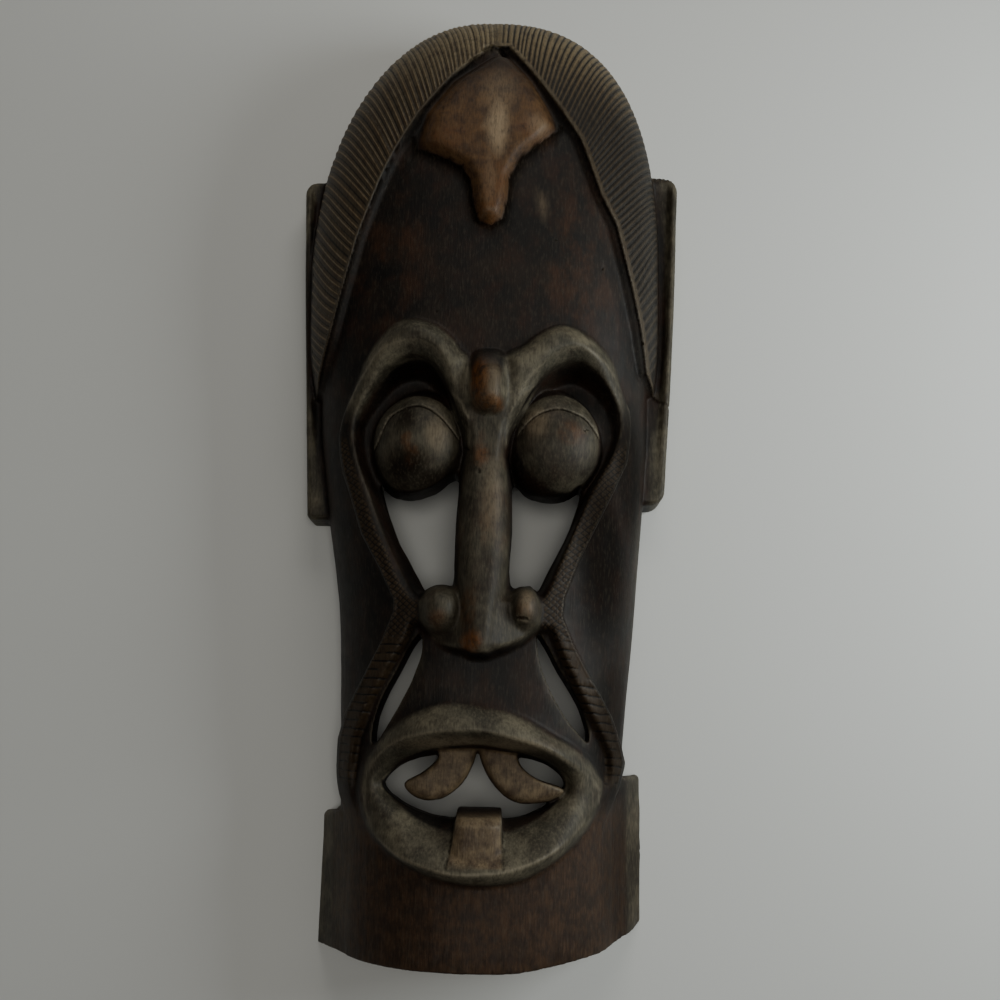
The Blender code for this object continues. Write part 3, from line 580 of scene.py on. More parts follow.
# The remesh leaves the beard's thin flare ragged, so its points go back to where its side should be
points = readPoints(mask)[0]
x, y, z = points.T
side, share = beardSide(x, y, z)
flared = (share < 1.02) & (np.abs(x) > side - 1.5) & (np.abs(x) < side + 5) & (z < 22)
points[:, 0] = np.where(flared, x + (np.sign(x) * side - x) * ramp(22 - z, 5), x)
writePoints(mask, points)
print("worn:", len(mask.data.polygons), "faces")

# The combed hair: where every few grooves start, pass and end, as angles seen from the middle of the mask
hair = {
    "lines": ((0, 160.2, 158.2, 154.5), (10, 136.7, 136.2, 133), (15, 127.1, 127.3, 125.8),
              (21, 117.4, 118.7, 119.5), (29, 110, 110.9, 112.2), (38, 101.6, 102.4, 103.3),
              (42, 98.6, 99.5, 101), (45, 96.7, 97.6, 99.1), (47, 95.7, 96.2, 97.5), (50, 93.5, 94.2, 95.4),
              (53, 91.5, 91.9, 92.7), (55, 90.3, 90.5, 91), (57, 88.9, 88.9, 89.1), (60, 86.6, 86.5, 86.3),
              (62, 85.5, 85.3, 84.6), (65, 83.3, 83.3, 83), (67, 82, 81.5, 80.9), (70, 79.9, 79.1, 78.2),
              (72, 79, 77.5, 76.3), (78, 74.3, 73.4, 72.2), (86, 69.5, 67.5, 66.3), (89, 67.2, 65.4, 63.8),
              (92, 64.7, 63, 61.9), (96, 60.4, 59.4, 58.8), (100, 56.3, 56, 56.3), (106, 46, 48.5, 51.5),
              (109, 41.2, 43.2, 45.7), (112, 33, 36.1, 39.8), (116, 22.7, 25.4, 29.5)),
    "crownLine": 56, "leftDepth": 0.75, "rightDepth": 0.8, "leftRim": 1.0, "rightRim": 2.4, "unevenness": 0.17,
    "aboveEars": 190, "earLine": 31, "moat": 1.1, "moatWidth": 3.5,
}
cuts = {
    "bandLine": 0.45, "bandLineWidth": 0.65, "hatch": 0.28, "hatchPitch": 3.6, "crack": 0.5, "bars": 0.6,
    "barPitch": 4.8, "gouge": 0.14, "gougeCell": (5, 16, 5), "roll": 0.3, "rollCell": (22, 40, 22),
    "backGouge": 0.45, "backCell": (9, 26, 9), "striation": 0.16, "striationCell": (1.2, 60, 1.2),
}
noseField = ((-15, 30), (-16, -86), (-29, -92), (-35, -103), (-34, -114), (-24, -126), (0, -134), (24, -126),
             (35, -117), (36, -104), (30, -92), (18, -86), (18, -25), (16, 30))
lidLines = (
    ((-70, -16), (-63, -9), (-57, 4), (-48, 11), (-41, 13), (-33, 11), (-23, 3), (-17, -4), (-8, -14)),
    ((12, -15), (20.5, -2), (28, 6.5), (38, 11.5), (45, 12.5), (53, 10.5), (60, 7.5), (65, 2), (72, -6)),
)
# Chips and nicks: place, half length, half width, turn in degrees, depth
nicks = ((-17, -199, 5.5, 1.5, 12, 1.0), (27, -204, 2.2, 0.8, -30, 0.6), (24, -112, 3.8, 1.1, -8, 0.9),
         (60, 1, 2.2, 0.5, 20, 0.5), (-2, -28, 1.0, 2.0, 10, 0.4), (-4, 252, 5.0, 2.4, 35, 1.8),
         (5, 251, 4.0, 1.6, -40, 1.5), (-12, 243, 6.0, 1.4, 40, 1.1), (70, 105, 1.6, 0.8, 60, 0.5),
         (60, -160, 1.5, 0.7, 15, 0.5), (-30, 70, 1.2, 0.6, 80, 0.4), (40, 118, 1.5, 0.5, 10, 0.4))

lattice = chance.uniform(-1, 1, (32, 32, 32))
grooveMood = chance.uniform(-1, 1, 130)
silhouette = np.array([(-halfWidths(y)[0], y) for y in np.linspace(-300, 299.9, 90)]
                      + [(halfWidths(y)[1], y) for y in np.linspace(299.9, -300, 90)])


def unevenness(points, cell):
    # smooth random relief between -1 and 1, whose bumps are about as large as cell
    place = points / np.asarray(cell, float)
    corner = np.floor(place).astype(int)
    share = place - corner
    share = share * share * (3 - 2 * share)
    total = np.zeros(len(points))
    for step in np.ndindex(2, 2, 2):
        weight = np.prod(np.where(np.array(step) == 1, share, 1 - share), axis=1)
        i, j, k = ((corner + step) % 32).T
        total += weight * lattice[i, j, k]
    return total


def hairPhase(angle, share):
    # counts the grooves from the left temple over the crown to the right one
    lines = np.array(hair["lines"], float)
    count, start, middle, end = lines.T[:, :, None]
    where = start + share * (4 * middle - 3 * start - end) + share ** 2 * (2 * start - 4 * middle + 2 * end)
    passed = np.clip((where[:-1] - angle) / (where[:-1] - where[1:]), 0, 1)
    return count[0] + ((count[1:] - count[:-1]) * passed).sum(axis=0)


def surfaceFacts(points, normals):
    # what the carver did at each point
    x, y, z = points.T
    left, right, tall, power = headShape(y)
    width = np.maximum(np.where(x < 0, left, right), 0.5)
    bulk = (np.abs(x) / width) ** power + (np.clip(z, 0, None) / np.maximum(tall, 0.5)) ** power
    pastHollow = ramp(y - head["top"] + hollow["sideWall"] - 3, 4)
    outside = np.maximum(ramp(bulk - 0.76, 0.06), pastHollow)
    front = ramp(normals[:, 2] - 0.1, 0.3) * outside
    fromArch = -depthInside(forehead, x, y, 90.0)
    pastArch = np.clip(fromArch, 0, None)
    fromOutline = np.maximum(depthInside(silhouette, x, y, 90.0), 0)
    rightSide = ramp(x + 2, 8)
    rim = hair["leftRim"] + (hair["rightRim"] - hair["leftRim"]) * rightSide
    aboveEar = np.maximum(ramp(z - hair["earLine"], 2.5), ramp(y - hair["aboveEars"], 4))
    hairZone = outside * ramp(fromArch, 0.6) * aboveEar * ((bulk < 1.12) | (y > hair["aboveEars"]))
    phase, near = np.zeros(len(points)), hairZone > 0
    share = pastArch / np.maximum(pastArch + fromOutline, 1e-6)
    phase[near] = hairPhase(np.degrees(np.arctan2(y[near], x[near])), share[near])
    phase = phase + hair["unevenness"] * np.interp(phase, np.arange(len(grooveMood)), grooveMood)
    inFace = np.clip(-fromArch, 0, None) * outside + 50 * (1 - outside)

    fromBandEdge = depthInside(cheekBands, x, y)
    inSockets = [depthInside(rounded(crest), x, y) for crest in (leftSocket, rightSocket)]
    inBand = np.minimum.reduce([fromBandEdge, -inSockets[0], -inSockets[1], 2.5 - depthInside(philtrum, x, y),
                                -depthInside(noseField, x, y)])
    alongBand = ramp(y + 206, 6) * ramp(2 - y, 10)
    crestLine = np.maximum.reduce([thinLine(depthInside(rounded(lipCrest), x, y), 0.7)]
                                  + [thinLine(inSocket, 0.7) * ramp(y - 8, 12) for inSocket in inSockets])
    bent = 0.3 * unevenness(points, (6, 6, 6))
    fromFoot = depthInside(ornamentFoot, x, y)
    wander = 0.3 * unevenness(points, (3, 3, 3))
    crack = np.maximum.reduce([thinLine(x - side + wander, 0.55) for side in lowerToothSides(y)])
    ball = lid = lidLine = np.zeros(len(points))
    for (middleX, middleY, halfWidth, halfLength), edge in zip(eyes["balls"], lidLines):
        away = np.hypot((x - middleX) / halfWidth, (y - middleY) / halfLength)
        onBall = ramp(1.03 - away, 0.06) * front * (z > relief["socketFloor"])
        aboveEdge = y - eased(*np.array(edge, float).T, x)
        ball = np.maximum(ball, onBall)
        lid = np.maximum(lid, onBall * ramp(aboveEdge, eyes["lidEdge"]))
        lidLine = np.maximum(lidLine, onBall * thinLine(aboveEdge + 0.1, 0.55))
    nick, nickDepth = np.zeros((2, len(points)))
    for atX, atY, halfLength, halfWidth, turn, depth in nicks:
        near = (np.abs(x - atX) < 12) & (np.abs(y - atY) < 12) & (front > 0)
        cosTurn, sinTurn = math.cos(math.radians(turn)), math.sin(math.radians(turn))
        along = (x[near] - atX) * cosTurn + (y[near] - atY) * sinTurn
        across = (y[near] - atY) * cosTurn - (x[near] - atX) * sinTurn
        mark = np.clip(1 - (along / halfLength) ** 2 - (across / halfWidth) ** 2, 0, 1)
        nick[near] = np.maximum(nick[near], ramp(mark, 0.5))
        nickDepth[near] = np.maximum(nickDepth[near], depth * mark ** 0.7)
    return {
        "outside": outside, "front": front, "up": normals[:, 2], "rightSide": rightSide, "hairZone": hairZone,
        "ear": ramp(bulk - 1.08, 0.06) * ramp(30 - z, 3) * (y < hair["aboveEars"] + 8),
        "hair": hairZone * ramp(fromArch - rim, 1.4), "hairPhase": phase,
        "moat": (1 - ramp(inFace, hair["moatWidth"])) * (fromArch < 0) * ramp(y - 28, 14),
        "band": ramp(inBand, 0.8) * alongBand * front, "lowerArm": ramp(-118 - y, 10),
        "bandLine": (thinLine(fromBandEdge - 0.8, cuts["bandLineWidth"]) * alongBand * outside
                     * (normals[:, 2] > -0.2)),
        "crestLine": crestLine * front * ramp(unevenness(points, (12, 12, 12)) + 0.5, 0.6),
        "hatchUp": (y + 0.75 * x) / cuts["hatchPitch"] + bent,
        "hatchDown": (y - 0.9 * x) / cuts["hatchPitch"] - bent,
        "bars": (y + 0.06 * x) / cuts["barPitch"] + 0.4 * bent,
        "barDepth": ramp(unevenness(points, (6, 5, 6)) + 0.6, 0.5),
        "ornament": ramp(ornamentShare(x, y), 0.5) * front,
        # painted shadow: a dark rim just outside the ornament's lower edges
        "paintedShadowUnderOrnament": (fromFoot < 0.6) * ramp(fromFoot + 5, 5) * (fromArch < -4) * (y < 200),
        "crack": crack * ramp(-222 - y, 3) * ramp(y + 247, 2) * front,
        "beard": ramp(-210 - y, 14) * ramp(1.5 - depthInside(rounded(lipEdge), x, y), 1.5) * outside,
        "ball": ball, "lid": lid, "lidLine": lidLine, "nick": nick, "nickDepth": nickDepth,
    }


def fineCarving(points, normals):
    # how far each point moves along its normal, in millimetres
    facts = surfaceFacts(points, normals)
    z = points[:, 2]
    wave = np.sin(np.pi * (facts["hairPhase"] % 1))
    mood = 0.85 + 0.3 * grooveMood[np.clip(np.rint(facts["hairPhase"]).astype(int) + 5, 0, 129)]
    flute, vee = hair["leftDepth"] * wave ** 0.8, hair["rightDepth"] * (1 - wave ** 0.55)
    move = -facts["hair"] * mood * (flute * (1 - facts["rightSide"]) + vee * facts["rightSide"])
    move -= hair["moat"] * facts["moat"] * (1 + 0.25 * unevenness(points, (9, 16, 9)))
    up, down, bars = (thinLine(facts[kind] - np.rint(facts[kind]), 0.1)
                      for kind in ("hatchUp", "hatchDown", "bars"))
    move -= facts["band"] * cuts["hatch"] * np.maximum(up, down) * (1 - facts["lowerArm"])
    move -= facts["band"] * cuts["bars"] * bars * facts["barDepth"] * facts["lowerArm"]
    move += cuts["bandLine"] * facts["bandLine"] - cuts["crack"] * facts["crack"]
    move += eyes["lid"] * facts["lid"] - eyes["lidLineDepth"] * facts["lidLine"]
    move -= facts["nickDepth"] * (1 + 0.3 * unevenness(points, (1.5, 1.5, 1.5)))
    move += facts["outside"] * (1 - facts["hair"]) * (cuts["gouge"] * unevenness(points, cuts["gougeCell"])
                                                      + cuts["roll"] * unevenness(points, cuts["rollCell"]))
    move -= (facts["beard"] * ramp(z - 12, 10) * cuts["striation"]
             * np.abs(unevenness(points, cuts["striationCell"])))
    inside = (1 - facts["outside"]) * ramp(z - 1.5, 4)
    return move + inside * cuts["backGouge"] * np.abs(unevenness(points, cuts["backCell"]))


def smoothedOver(values, pairs, passes):
    # each value averaged with its neighbours', again and again
    count = np.maximum(np.bincount(pairs.ravel(), minlength=len(values)), 1)
    for _ in range(passes):
        total = np.stack([np.bincount(pairs[:, 0], values[pairs[:, 1], i], len(values))
                          + np.bincount(pairs[:, 1], values[pairs[:, 0], i], len(values))
                          for i in range(values.shape[1])], axis=1)
        values = 0.5 * values + 0.5 * total / count[:, None]
    return values


# A finer mesh where the hair and the bands are cut, so that thin grooves keep their shape
points, normals = readPoints(mask)
facts = surfaceFacts(points, normals)
wanted = np.maximum.reduce([facts["hair"], facts["band"], facts["lidLine"]]) > 0.02
corners = readAll(mask.data.loops, "vertex_index", kind=np.int32)
sides = readAll(mask.data.polygons, "loop_total", kind=np.int32)
chosen = np.bincount(np.repeat(np.arange(len(sides)), sides), wanted[corners], len(sides)) > 0
selectOnly(mask)
bpy.ops.object.mode_set(mode="EDIT")
bpy.ops.mesh.select_mode(type="FACE")
bpy.ops.mesh.select_all(action="DESELECT")
bpy.ops.object.mode_set(mode="OBJECT")
mask.data.polygons.foreach_set("select", chosen)
bpy.ops.object.mode_set(mode="EDIT")
bpy.ops.mesh.subdivide(number_cuts=1)
bpy.ops.object.mode_set(mode="OBJECT")
points, normals = readPoints(mask)
print("ready for the fine carving:", len(points), "points")
points = points + normals * fineCarving(points, normals)[:, None]
points[:, 2] = np.where(points[:, 2] < 0.75, 0, points[:, 2])
writePoints(mask, points)
print("cut the grooves, the bands, the lids and the tool marks")

# How proud or sunk each place is, read from the dense mesh and kept for the finish
pairs = readAll(mask.data.edges, "vertices", 2, np.int32)
normals = readPoints(mask)[1]
near = smoothedOver(points, pairs, 3)
wide = smoothedOver(near, pairs, 30)
proud, swellOut = ((points - near) * normals).sum(axis=1), ((near - wide) * normals).sum(axis=1)
tree = KDTree(len(points))
for i, point in enumerate(points):
    tree.insert(point, i)
tree.balance()
print("read how proud each place is")

mostFaces = 192000
applyStep(mask, "thinned", "DECIMATE", ratio=min(1.0, mostFaces / (2 * len(mask.data.polygons))))
points = readPoints(mask)[0]
points[:, 2] = np.where(points[:, 2] < 0.4, 0, points[:, 2])
writePoints(mask, points)
selectOnly(mask)
bpy.ops.object.shade_smooth()
match = np.array([tree.find(point)[1] for point in points])
facts = surfaceFacts(points, readPoints(mask)[1])
facts["proud"], facts["swellOut"] = proud[match], swellOut[match]
print("thinned to", len(mask.data.polygons), "faces")


# Colours are sRGB hex values, turned to linear
def colour(code):
    parts = [int(code[i:i + 2], 16) / 255 for i in (1, 3, 5)]
    return tuple(p / 12.92 if p <= 0.04045 else ((p + 0.055) / 1.055) ** 2.4 for p in parts) + (1.0,)


def addNode(tree, kind, settings):
    # settings go by a property's name, or by a socket's name or number, and another node's output is linked
    node = tree.nodes.new(kind)
    for name, value in settings.items():
        if isinstance(name, str) and name not in node.inputs:
            setattr(node, name, value)
        elif isinstance(value, bpy.types.NodeSocket):
            tree.links.new(value, node.inputs[name])
        else:
            node.inputs[name].default_value = value
    return node


def newMaterial(name):
    material = bpy.data.materials.new(name)
    material.use_nodes = True
    return material, material.node_tree, material.node_tree.nodes["Principled BSDF"]


# Where the finish differs: spots as x, y, radius across, radius along, strength
finish = {
    "orange": ((-42, -17, 5, 8, 0.5), (-45, -8, 3.5, 6, 0.4), (51, -2, 9, 8, 0.28), (-3, 24, 6, 15, 0.8),
               (4, 12, 8, 5, 0.6), (-4, -126, 6, 7, 0.9), (-1, -17, 5, 9, 0.45), (-1, 134, 7, 12, 0.4),
               (-23, -113, 6, 6, 0.25), (25, -108, 5, 6, 0.25), (-17, -203, 9, 5, 0.3), (-6, -108, 5, 14, 0.25),
               (2, -60, 4, 9, 0.15), (4, 152, 9, 14, 0.3), (26, 188, 14, 10, 0.3), (-26, 180, 14, 10, 0.25)),
    # Pale spots: painted highlights and glints on the ornament, the knob, the eye and nostril balls, the nose and
    # the upper lip
    "paintedHighlights": ((4, 188, 7, 22, 0.8), (0, 150, 4, 18, 0.2), (33, 144, 4, 6, 0.3), (4, 24, 6, 14, 0.3),
             (26, -103, 5, 8, 0.3), (-27, -4, 8, 12, 0.25), (31, 4, 8, 10, 0.3), (5, -45, 7, 26, 0.2),
             (28, 190, 8, 8, 0.3), (4, 212, 12, 20, 0.25), (0, -181, 48, 5, 0.3)),
    "brown": ((-60, 110, 25, 50, 0.7), (55, 105, 25, 50, 0.9), (0, -145, 32, 14, 0.2), (-12, -70, 4, 55, 0.6),
              (-30, -12, 10, 14, 0.3), (11, -60, 7, 50, 0.5), (-2, -104, 8, 18, 0.4)),
    # Dark spots: dark stain on the left eye, and painted shade beside the nose shaft and down the right side of
    # the face
    "dark": ((-44, -22, 16, 12, 0.9), (-46, 4, 7, 12, 0.7), (72, -70, 18, 60, 0.8), (88, -20, 12, 50, 0.7),
             (80, -170, 14, 50, 0.55), (88, -255, 18, 50, 0.45), (-30, -30, 20, 8, 0.7), (20, -2, 6, 20, 0.6),
             (-13, 10, 5, 30, 0.5)),
    "roughness": 0.47, "ior": 1.5, "bumpDepth": 0.3,
}


def spots(kind, x, y):
    total = np.zeros(len(x))
    for atX, atY, across, along, strength in finish[kind]:
        away = np.hypot((x - atX) / across, (y - atY) / along)
        total = np.maximum(total, strength * (1 - ramp(away - 0.35, 0.9)))
    return total


x, y, z = points.T
front, outside, onBeard, onEar = (facts[name] for name in ("front", "outside", "beard", "ear"))
hollowed, raised = ramp(-facts["swellOut"] - 0.25, 2.0), ramp(facts["swellOut"] - 0.05, 1.0)
onBrow = np.zeros(len(x))
for outline, crest, floorEdge, start in ((leftBrow, leftSocket, leftSocketFloor, 0.22),
                                         (rightBrow, rightSocket, rightSocketFloor, 0.4)):
    upperFacet = ramp(between(rounded(floorEdge), rounded(crest), x, y) - start, 0.25)
    upperFacet = np.where(depthInside(rounded(crest), x, y) > 0, upperFacet, 1)
    onBrow = np.maximum(onBrow, ramp(depthInside(rounded(outline), x, y), 4) * upperFacet)
onBrow = onBrow * ramp(y - 4, 16) * ramp(z - 62, 12) * front
onLips = ramp(depthInside(rounded(lipEdge), x, y), 3) * front
onNose = ramp(depthInside(noseField, x, y), 1.5) * ramp(z - 72, 12) * ramp(28 - y, 14) * front
inUpperTooth = np.maximum.reduce([depthInside(rounded(outline), x, y) for outline in teeth["upper"]])
onUpperTooth = ramp(inUpperTooth + 0.6, 1.2) * ramp(z - 58, 3) * (z < 73) * ramp(facts["up"] + 0.2, 0.3)
toothLeft, toothRight = lowerToothSides(y)
onLowerTooth = (ramp(x - toothLeft, 1) * ramp(toothRight - x, 1) * ramp(y + 246, 1.5) * ramp(-217 - y, 4)
                * ramp(z - 70, 6))
# Grey patina on what stands out and was handled, and painted light: a pale strip down the right edge of the face,
# and extra paleness on the left ear, more than on the right one, and on the left side of the beard
patinaAndPaintedLight = np.maximum.reduce([
    onBrow, 0.85 * onLips, 0.48 * facts["ball"], 0.75 * facts["lid"], 0.42 * onNose,
    np.where(x < 0, 1.0, 0.75) * onEar, 0.4 * onBeard * ramp(-60 - x, 25),
    0.25 * raised * front * (1 - onBeard),
    0.4 * ramp(x - 90, 10) * ramp(-30 - y, 30) * ramp(y + 205, 10) * outside])
# Soot-black dirt and painted shade: painted shade in the groove along the hair's edge, in the hollows, under the
# ornament's lower edges and in some dark spots, with soot-black dirt in the cut lid lines, nicks and cracks
sootAndPaintedShade = np.maximum.reduce([
    0.9 * facts["moat"], hollowed * front * (0.42 - 0.32 * onLips) * (1 - 0.8 * onEar), facts["lidLine"],
    0.7 * facts["nick"], facts["paintedShadowUnderOrnament"], facts["crack"], spots("dark", x, y) * front])
handled = np.maximum.reduce([onBrow, onLips, onNose]
                            + [facts[name] for name in ("ball", "ornament", "hair", "bandLine")])
# Pale wear on proud edges, with a painted highlight along the lip crest and the socket crests
rubbed = ramp(facts["proud"] - 0.03, 0.16) * outside * (1 - 0.7 * facts["band"]) * (1 - 0.8 * onBeard)
rubbed = rubbed * (0.35 + 0.65 * handled) + 0.8 * facts["crestLine"] * ramp(facts["swellOut"] + 0.3, 0.5)

# What the wood's shader reads on the points, mostly from 0 to 1
painted = {name: facts[name]
           for name in ("hairPhase", "hair", "hairZone", "band", "hatchUp", "hatchDown", "bars", "beard")}
painted.update({name: spots(name, x, y) * front for name in ("orange", "paintedHighlights", "brown")})
painted.update({
    # The hair pales towards the crown: dust, and painted light where the top light falls
    "hairPale": facts["hairZone"] * (0.15 + 0.85 * ramp(y - 205, 90)),
    "hairDark": facts["rightSide"] * (1 - 0.85 * ramp(y - 195, 75)) + 0.25 * ramp(80 - y, 60) * (x < 0),
    "rightSide": ramp(facts["hairPhase"] - hair["crownLine"] + 2, 4),
    "barDepth": facts["band"] * facts["barDepth"] * facts["lowerArm"],
    "hatchDepth": facts["band"] * (1 - facts["lowerArm"]),
    "ornament": facts["ornament"] * (1 - 0.75 * ramp(y - 200, 38)),
    "tooth": np.maximum(onUpperTooth, onLowerTooth),
    "patinaAndPaintedLight": np.clip(patinaAndPaintedLight, 0, 1), "sootAndPaintedShade": np.clip(sootAndPaintedShade, 0, 1), "rubbed": np.clip(rubbed, 0, 1),
    "dusting": 0.05 + 0.13 * np.clip(patinaAndPaintedLight, 0, 1),
})
for name, values in painted.items():
    layer = mask.data.attributes.new(name, "FLOAT", "POINT")
    layer.data.foreach_set("value", np.ascontiguousarray(values, dtype=np.float32))

# Hardwood stained nearly black with soot and oil, greyed by dust on what stands out, and worn back to
# orange-brown where hands touched it. Painted light and shade are laid into the same colours: highlights on
# crests and rounded tops, shade in hollows and grooves. It looks dull, with a soft waxy gloss on the worn places.
wood = {
    "black": "#0c0805", "dark": "#1d140c", "red": "#2c170b", "brown": "#38210f", "grey": "#3d3a2f",
    "paleGrey": "#645e4d", "rubbed": "#857c68", "hairCut": "#0f0b07", "hairRib": "#352819", "hairEdge": "#6e5a3e",
    "hairDustAndTopLight": "#87795c", "ornament": "#5b4126", "ornamentDark": "#3b2817", "tooth": "#6d5d46",
    "toothDark": "#453729", "orange": "#7d4a18", "tan": "#98856a", "bandCut": "#080503", "bandWood": "#302415",
    "beardDark": "#2a1d13", "beardBrown": "#3e2b1b",
}
# Noises in the wood: width and length of one patch in millimetres, detail, and a shift that tells them apart.
# Real fibres are finer: these are drawn as coarse as they need to be to show.
noises = {
    "blotch": (26, 26, 3, (0, 0, 0)), "mottle": (7, 7, 4, (3, 1, 7)), "fibre": (0.7, 11, 3, (0, 0, 0)),
    "streaks": (1.1, 30.8, 2, (5, 2, 1)), "grit": (1.3, 5.2, 4, (9, 4, 2)), "patches": (15, 24, 5, (2, 5, 3)),
}
# The stain, laid on in this order. Each row says what it makes, from what lies under and what is laid over it,
# where that is painted, what breaks it up, between which two values, and its least and greatest share.
stain = (
    ("base", "dark", "black", None, "blotch", 0.35, 0.6, 0, 1),
    ("base", "base", "red", None, "patches", 0.45, 0.7, 0, 0.55),
    ("base", "base", "brown", "brown", "patches", 0.38, 0.68, 0, 1),
    ("beardWood", "beardDark", "beardBrown", None, "mottle", 0.35, 0.65, 0, 1),
    ("beardWood", "beardWood", "beardDark", None, "streaks", 0.45, 0.7, 0, 0.45),
    ("base", "base", "beardWood", "beard", None, 0, 0, 0, 1),
    # grey dust, and painted light where the patina mask carries it
    ("greyDustAndLight", "grey", "paleGrey", None, "blotch", 0.35, 0.65, 0, 1),
    ("base", "base", "greyDustAndLight", "patinaAndPaintedLight", "mottle", 0.3, 0.6, 0.55, 1),
    ("base", "base", "bandWood", "band", "mottle", 0.2, 0.5, 0, 1),
    ("base", "base", "bandCut", "hatchDepth", "hatchUp", 0.16, 0.06, 0, 0.9),
    ("base", "base", "bandCut", "hatchDepth", "hatchDown", 0.16, 0.06, 0, 0.9),
    ("base", "base", "bandCut", "barDepth", "bars", 0.16, 0.06, 0, 0.9),
    ("plate", "ornamentDark", "ornament", None, "mottle", 0.3, 0.7, 0, 1),
    ("base", "base", "plate", "ornament", None, 0, 0, 0, 1),
    ("toothWood", "toothDark", "tooth", None, "mottle", 0.3, 0.7, 0, 1),
    ("base", "base", "toothWood", "tooth", None, 0, 0, 0, 1),
    ("rib", "hairRib", "dark", None, "mottle", 0.3, 0.7, 0, 1),
    # dust and painted top light on the crown
    ("rib", "rib", "hairDustAndTopLight", "hairPale", "mottle", 0.25, 0.6, 0, 1),
    ("edge", "hairEdge", "hairDustAndTopLight", "hairPale", None, 0, 0, 0, 0.7),
    ("leftHair", "rib", "hairCut", None, "hairPhase", 0.35, 0.5, 0, 1),
    ("leftHair", "leftHair", "edge", None, "hairPhase", 0.14, 0, 0, 1),
    ("rightHair", "rib", "edge", None, "hairPhase", 0.3, 0.45, 0, 1),
    ("rightHair", "rightHair", "hairCut", None, "hairPhase", 0.275, 0.025, 0, 1),
    ("combed", "leftHair", "rightHair", "rightSide", None, 0, 0, 0, 1),
    ("combed", "combed", "hairCut", "hairDark", None, 0, 0, 0, 0.82),
    ("base", "base", "rib", "hairZone", None, 0, 0, 0, 1),
    ("base", "base", "combed", "hair", None, 0, 0, 0, 1),
    ("bareWood", "orange", "brown", None, "mottle", 0.35, 0.7, 0, 1),
    ("base", "base", "bareWood", "orange", "mottle", 0.2, 0.5, 0, 1),
    # pale spots of painted highlight
    ("base", "base", "tan", "paintedHighlights", "mottle", 0.1, 0.5, 0, 1),
    # pale wear, and painted highlights along the crests
    ("base", "base", "rubbed", "rubbed", None, 0, 0, 0, 0.5),
    # soot-black dirt and painted shade
    ("base", "base", "black", "sootAndPaintedShade", None, 0, 0, 0, 0.85),
    # pale specks of dust, in the colour of the worn edges
    ("base", "base", "rubbed", "dusting", "grit", 0.5, 0.68, 0, 1),
    ("base", "base", "black", None, "grit", 0.5, 0.34, 0, 0.35),
    ("base", "base", "black", None, "fibre", 0.45, 0.75, 0, 0.3),
)
stainedWood, tree, shader = newMaterial("stainedHardwood")
place = addNode(tree, "ShaderNodeTexCoord", {}).outputs["Object"]
marks = {name: addNode(tree, "ShaderNodeAttribute", {"attribute_name": name}).outputs["Fac"]
         for name in painted}
grain = {}
for name, (width, length, detail, shift) in noises.items():
    moved = addNode(tree, "ShaderNodeMapping", {
        "Vector": place, "Location": shift, "Scale": (1 / (width * mm), 1 / (length * mm), 1 / (width * mm))})
    patch = addNode(tree, "ShaderNodeTexNoise", {
        "Vector": moved.outputs["Vector"], "Scale": 1.0, "Detail": detail, "Roughness": 0.6})
    grain[name] = patch.outputs["Fac"]
for name in ("hatchUp", "hatchDown", "bars", "hairPhase"):
    # how far the nearest cut is, up to a half: a cut lies where its phase is a whole number
    grain[name] = addNode(tree, "ShaderNodeMath", {"operation": "PINGPONG", 0: marks[name], 1: 0.5}).outputs[0]
shades, shares = {name: colour(code) for name, code in wood.items()}, {}
for result, under, over, where, breaking, low, high, least, most in stain:
    share = most
    if breaking:
        share = addNode(tree, "ShaderNodeMapRange", {
            "interpolation_type": "SMOOTHSTEP", "Value": grain[breaking], "From Min": low, "From Max": high,
            "To Min": least, "To Max": most}).outputs["Result"]
    if where:
        share = addNode(tree, "ShaderNodeMath", {"operation": "MULTIPLY", 0: marks[where], 1: share}).outputs[0]
    mixed = addNode(tree, "ShaderNodeMix", {"data_type": "RGBA", 0: share, 6: shades[under], 7: shades[over]})
    shades[result], shares[over] = mixed.outputs[2], share
gloss = finish["roughness"]
for source, share in ((marks["rubbed"], -0.12), (shares["bareWood"], -0.2), (marks["sootAndPaintedShade"], 0.3),
                      (grain["mottle"], 0.2)):
    gloss = addNode(tree, "ShaderNodeMath", {
        "operation": "MULTIPLY_ADD", 0: source, 1: share, 2: gloss}).outputs[0]
shine = addNode(tree, "ShaderNodeMath", {"operation": "MULTIPLY_ADD", 0: marks["sootAndPaintedShade"], 1: -0.2, 2: 0.25})
height = addNode(tree, "ShaderNodeMix", {0: 0.5, 2: grain["fibre"], 3: grain["grit"]})
bump = addNode(tree, "ShaderNodeBump", {
    "Strength": 0.7, "Distance": finish["bumpDepth"] * mm, "Height": height.outputs[0]})
shader.inputs["IOR"].default_value = finish["ior"]
for socket, source in (("Base Color", shades["base"]), ("Roughness", gloss),
                       ("Specular IOR Level", shine.outputs[0]), ("Normal", bump.outputs["Normal"])):
    tree.links.new(source, shader.inputs[socket])
mask.data.materials.clear()
mask.data.materials.append(stainedWood)
print("stained the wood")

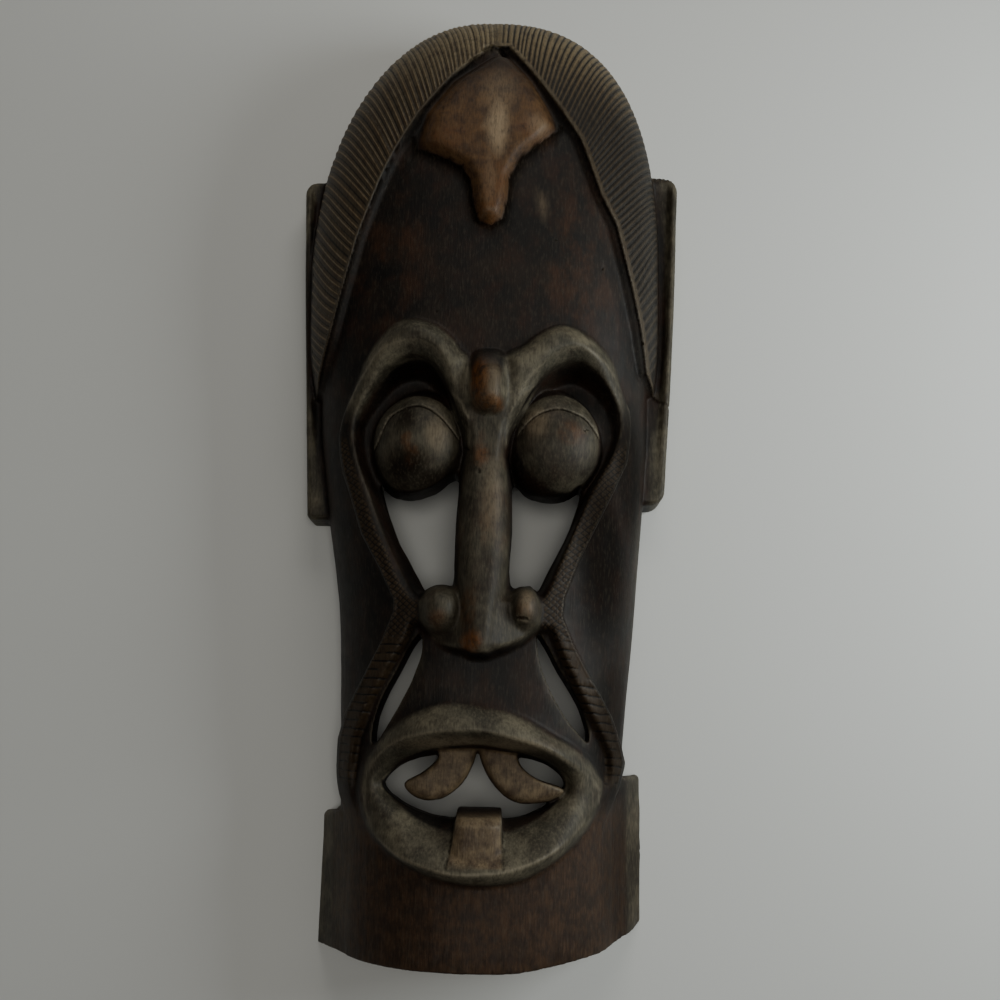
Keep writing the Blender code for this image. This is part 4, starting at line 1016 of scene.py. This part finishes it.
# The floor and the studio
studio = {"floorColour": "#d5d7d4", "floorSize": 6.0}
bpy.ops.object.select_all(action="DESELECT")
bpy.ops.mesh.primitive_plane_add(size=studio["floorSize"], location=(0, 0, -0.0004))
floor = bpy.context.object
floor.name = "floor"
floorPaint, tree, shader = newMaterial("matteFloorPaint")
shader.inputs["Base Color"].default_value = colour(studio["floorColour"])
shader.inputs["Roughness"].default_value = 0.8
floor.data.materials.append(floorPaint)


def softBox(name, place, towards, size, power, tint):
    bpy.ops.object.light_add(type="AREA", location=place)
    lamp = bpy.context.object
    lamp.name = name
    lamp.data.shape = "RECTANGLE"
    lamp.data.size, lamp.data.size_y = size
    lamp.data.energy = power
    lamp.data.color = tint
    direction = np.array(place) - np.array(towards)
    lamp.rotation_euler = (math.acos(direction[2] / np.linalg.norm(direction)), 0,
                           math.atan2(direction[1], direction[0]) + math.pi / 2)


softBox("frontLight", (0.07, -0.22, 1.6), (0, 0, 0), (0.55, 0.55), 5.2, (1, 0.96, 0.89))
softBox("topLight", (0.2, 1.2, 0.9), (0, 0.1, 0), (0.9, 0.5), 4.5, (1, 0.96, 0.89))
softBox("sideLight", (0.75, 0.05, 0.42), (0, 0, 0), (0.4, 0.4), 4.8, (0.95, 1, 0.99))
world = bpy.data.worlds.new("studioAir")
bpy.context.scene.world = world
world.use_nodes = True
world.node_tree.nodes["Background"].inputs["Color"].default_value = (1, 1, 1, 1)
world.node_tree.nodes["Background"].inputs["Strength"].default_value = 0.07

# The camera: straight above the middle of the face, tipped a little, as the photograph was taken
view = {"place": (0.0102, -0.17472, 0.70553), "tip": 12.0, "roll": 1.3, "lens": 39.6, "sensor": 36.0}
bpy.ops.object.camera_add(location=view["place"])
camera = bpy.context.object
camera.data.lens, camera.data.sensor_width = view["lens"], view["sensor"]
camera.data.clip_start = 0.01
tip, roll = math.radians(view["tip"]), math.radians(view["roll"])
forward = np.array([0, math.sin(tip), -math.cos(tip)])
sideways, upright = np.array([1.0, 0, 0]), np.array([0, math.cos(tip), math.sin(tip)])
right = sideways * math.cos(roll) + upright * math.sin(roll)
up = upright * math.cos(roll) - sideways * math.sin(roll)
facing = Matrix([[right[i], up[i], -forward[i], view["place"][i]] for i in range(3)] + [[0, 0, 0, 1]])
camera.matrix_world = facing
bpy.context.scene.camera = camera
print("set the floor, the lights and the camera")

mask.name = "woodenMask"
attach(mask, "root")
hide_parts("mask")
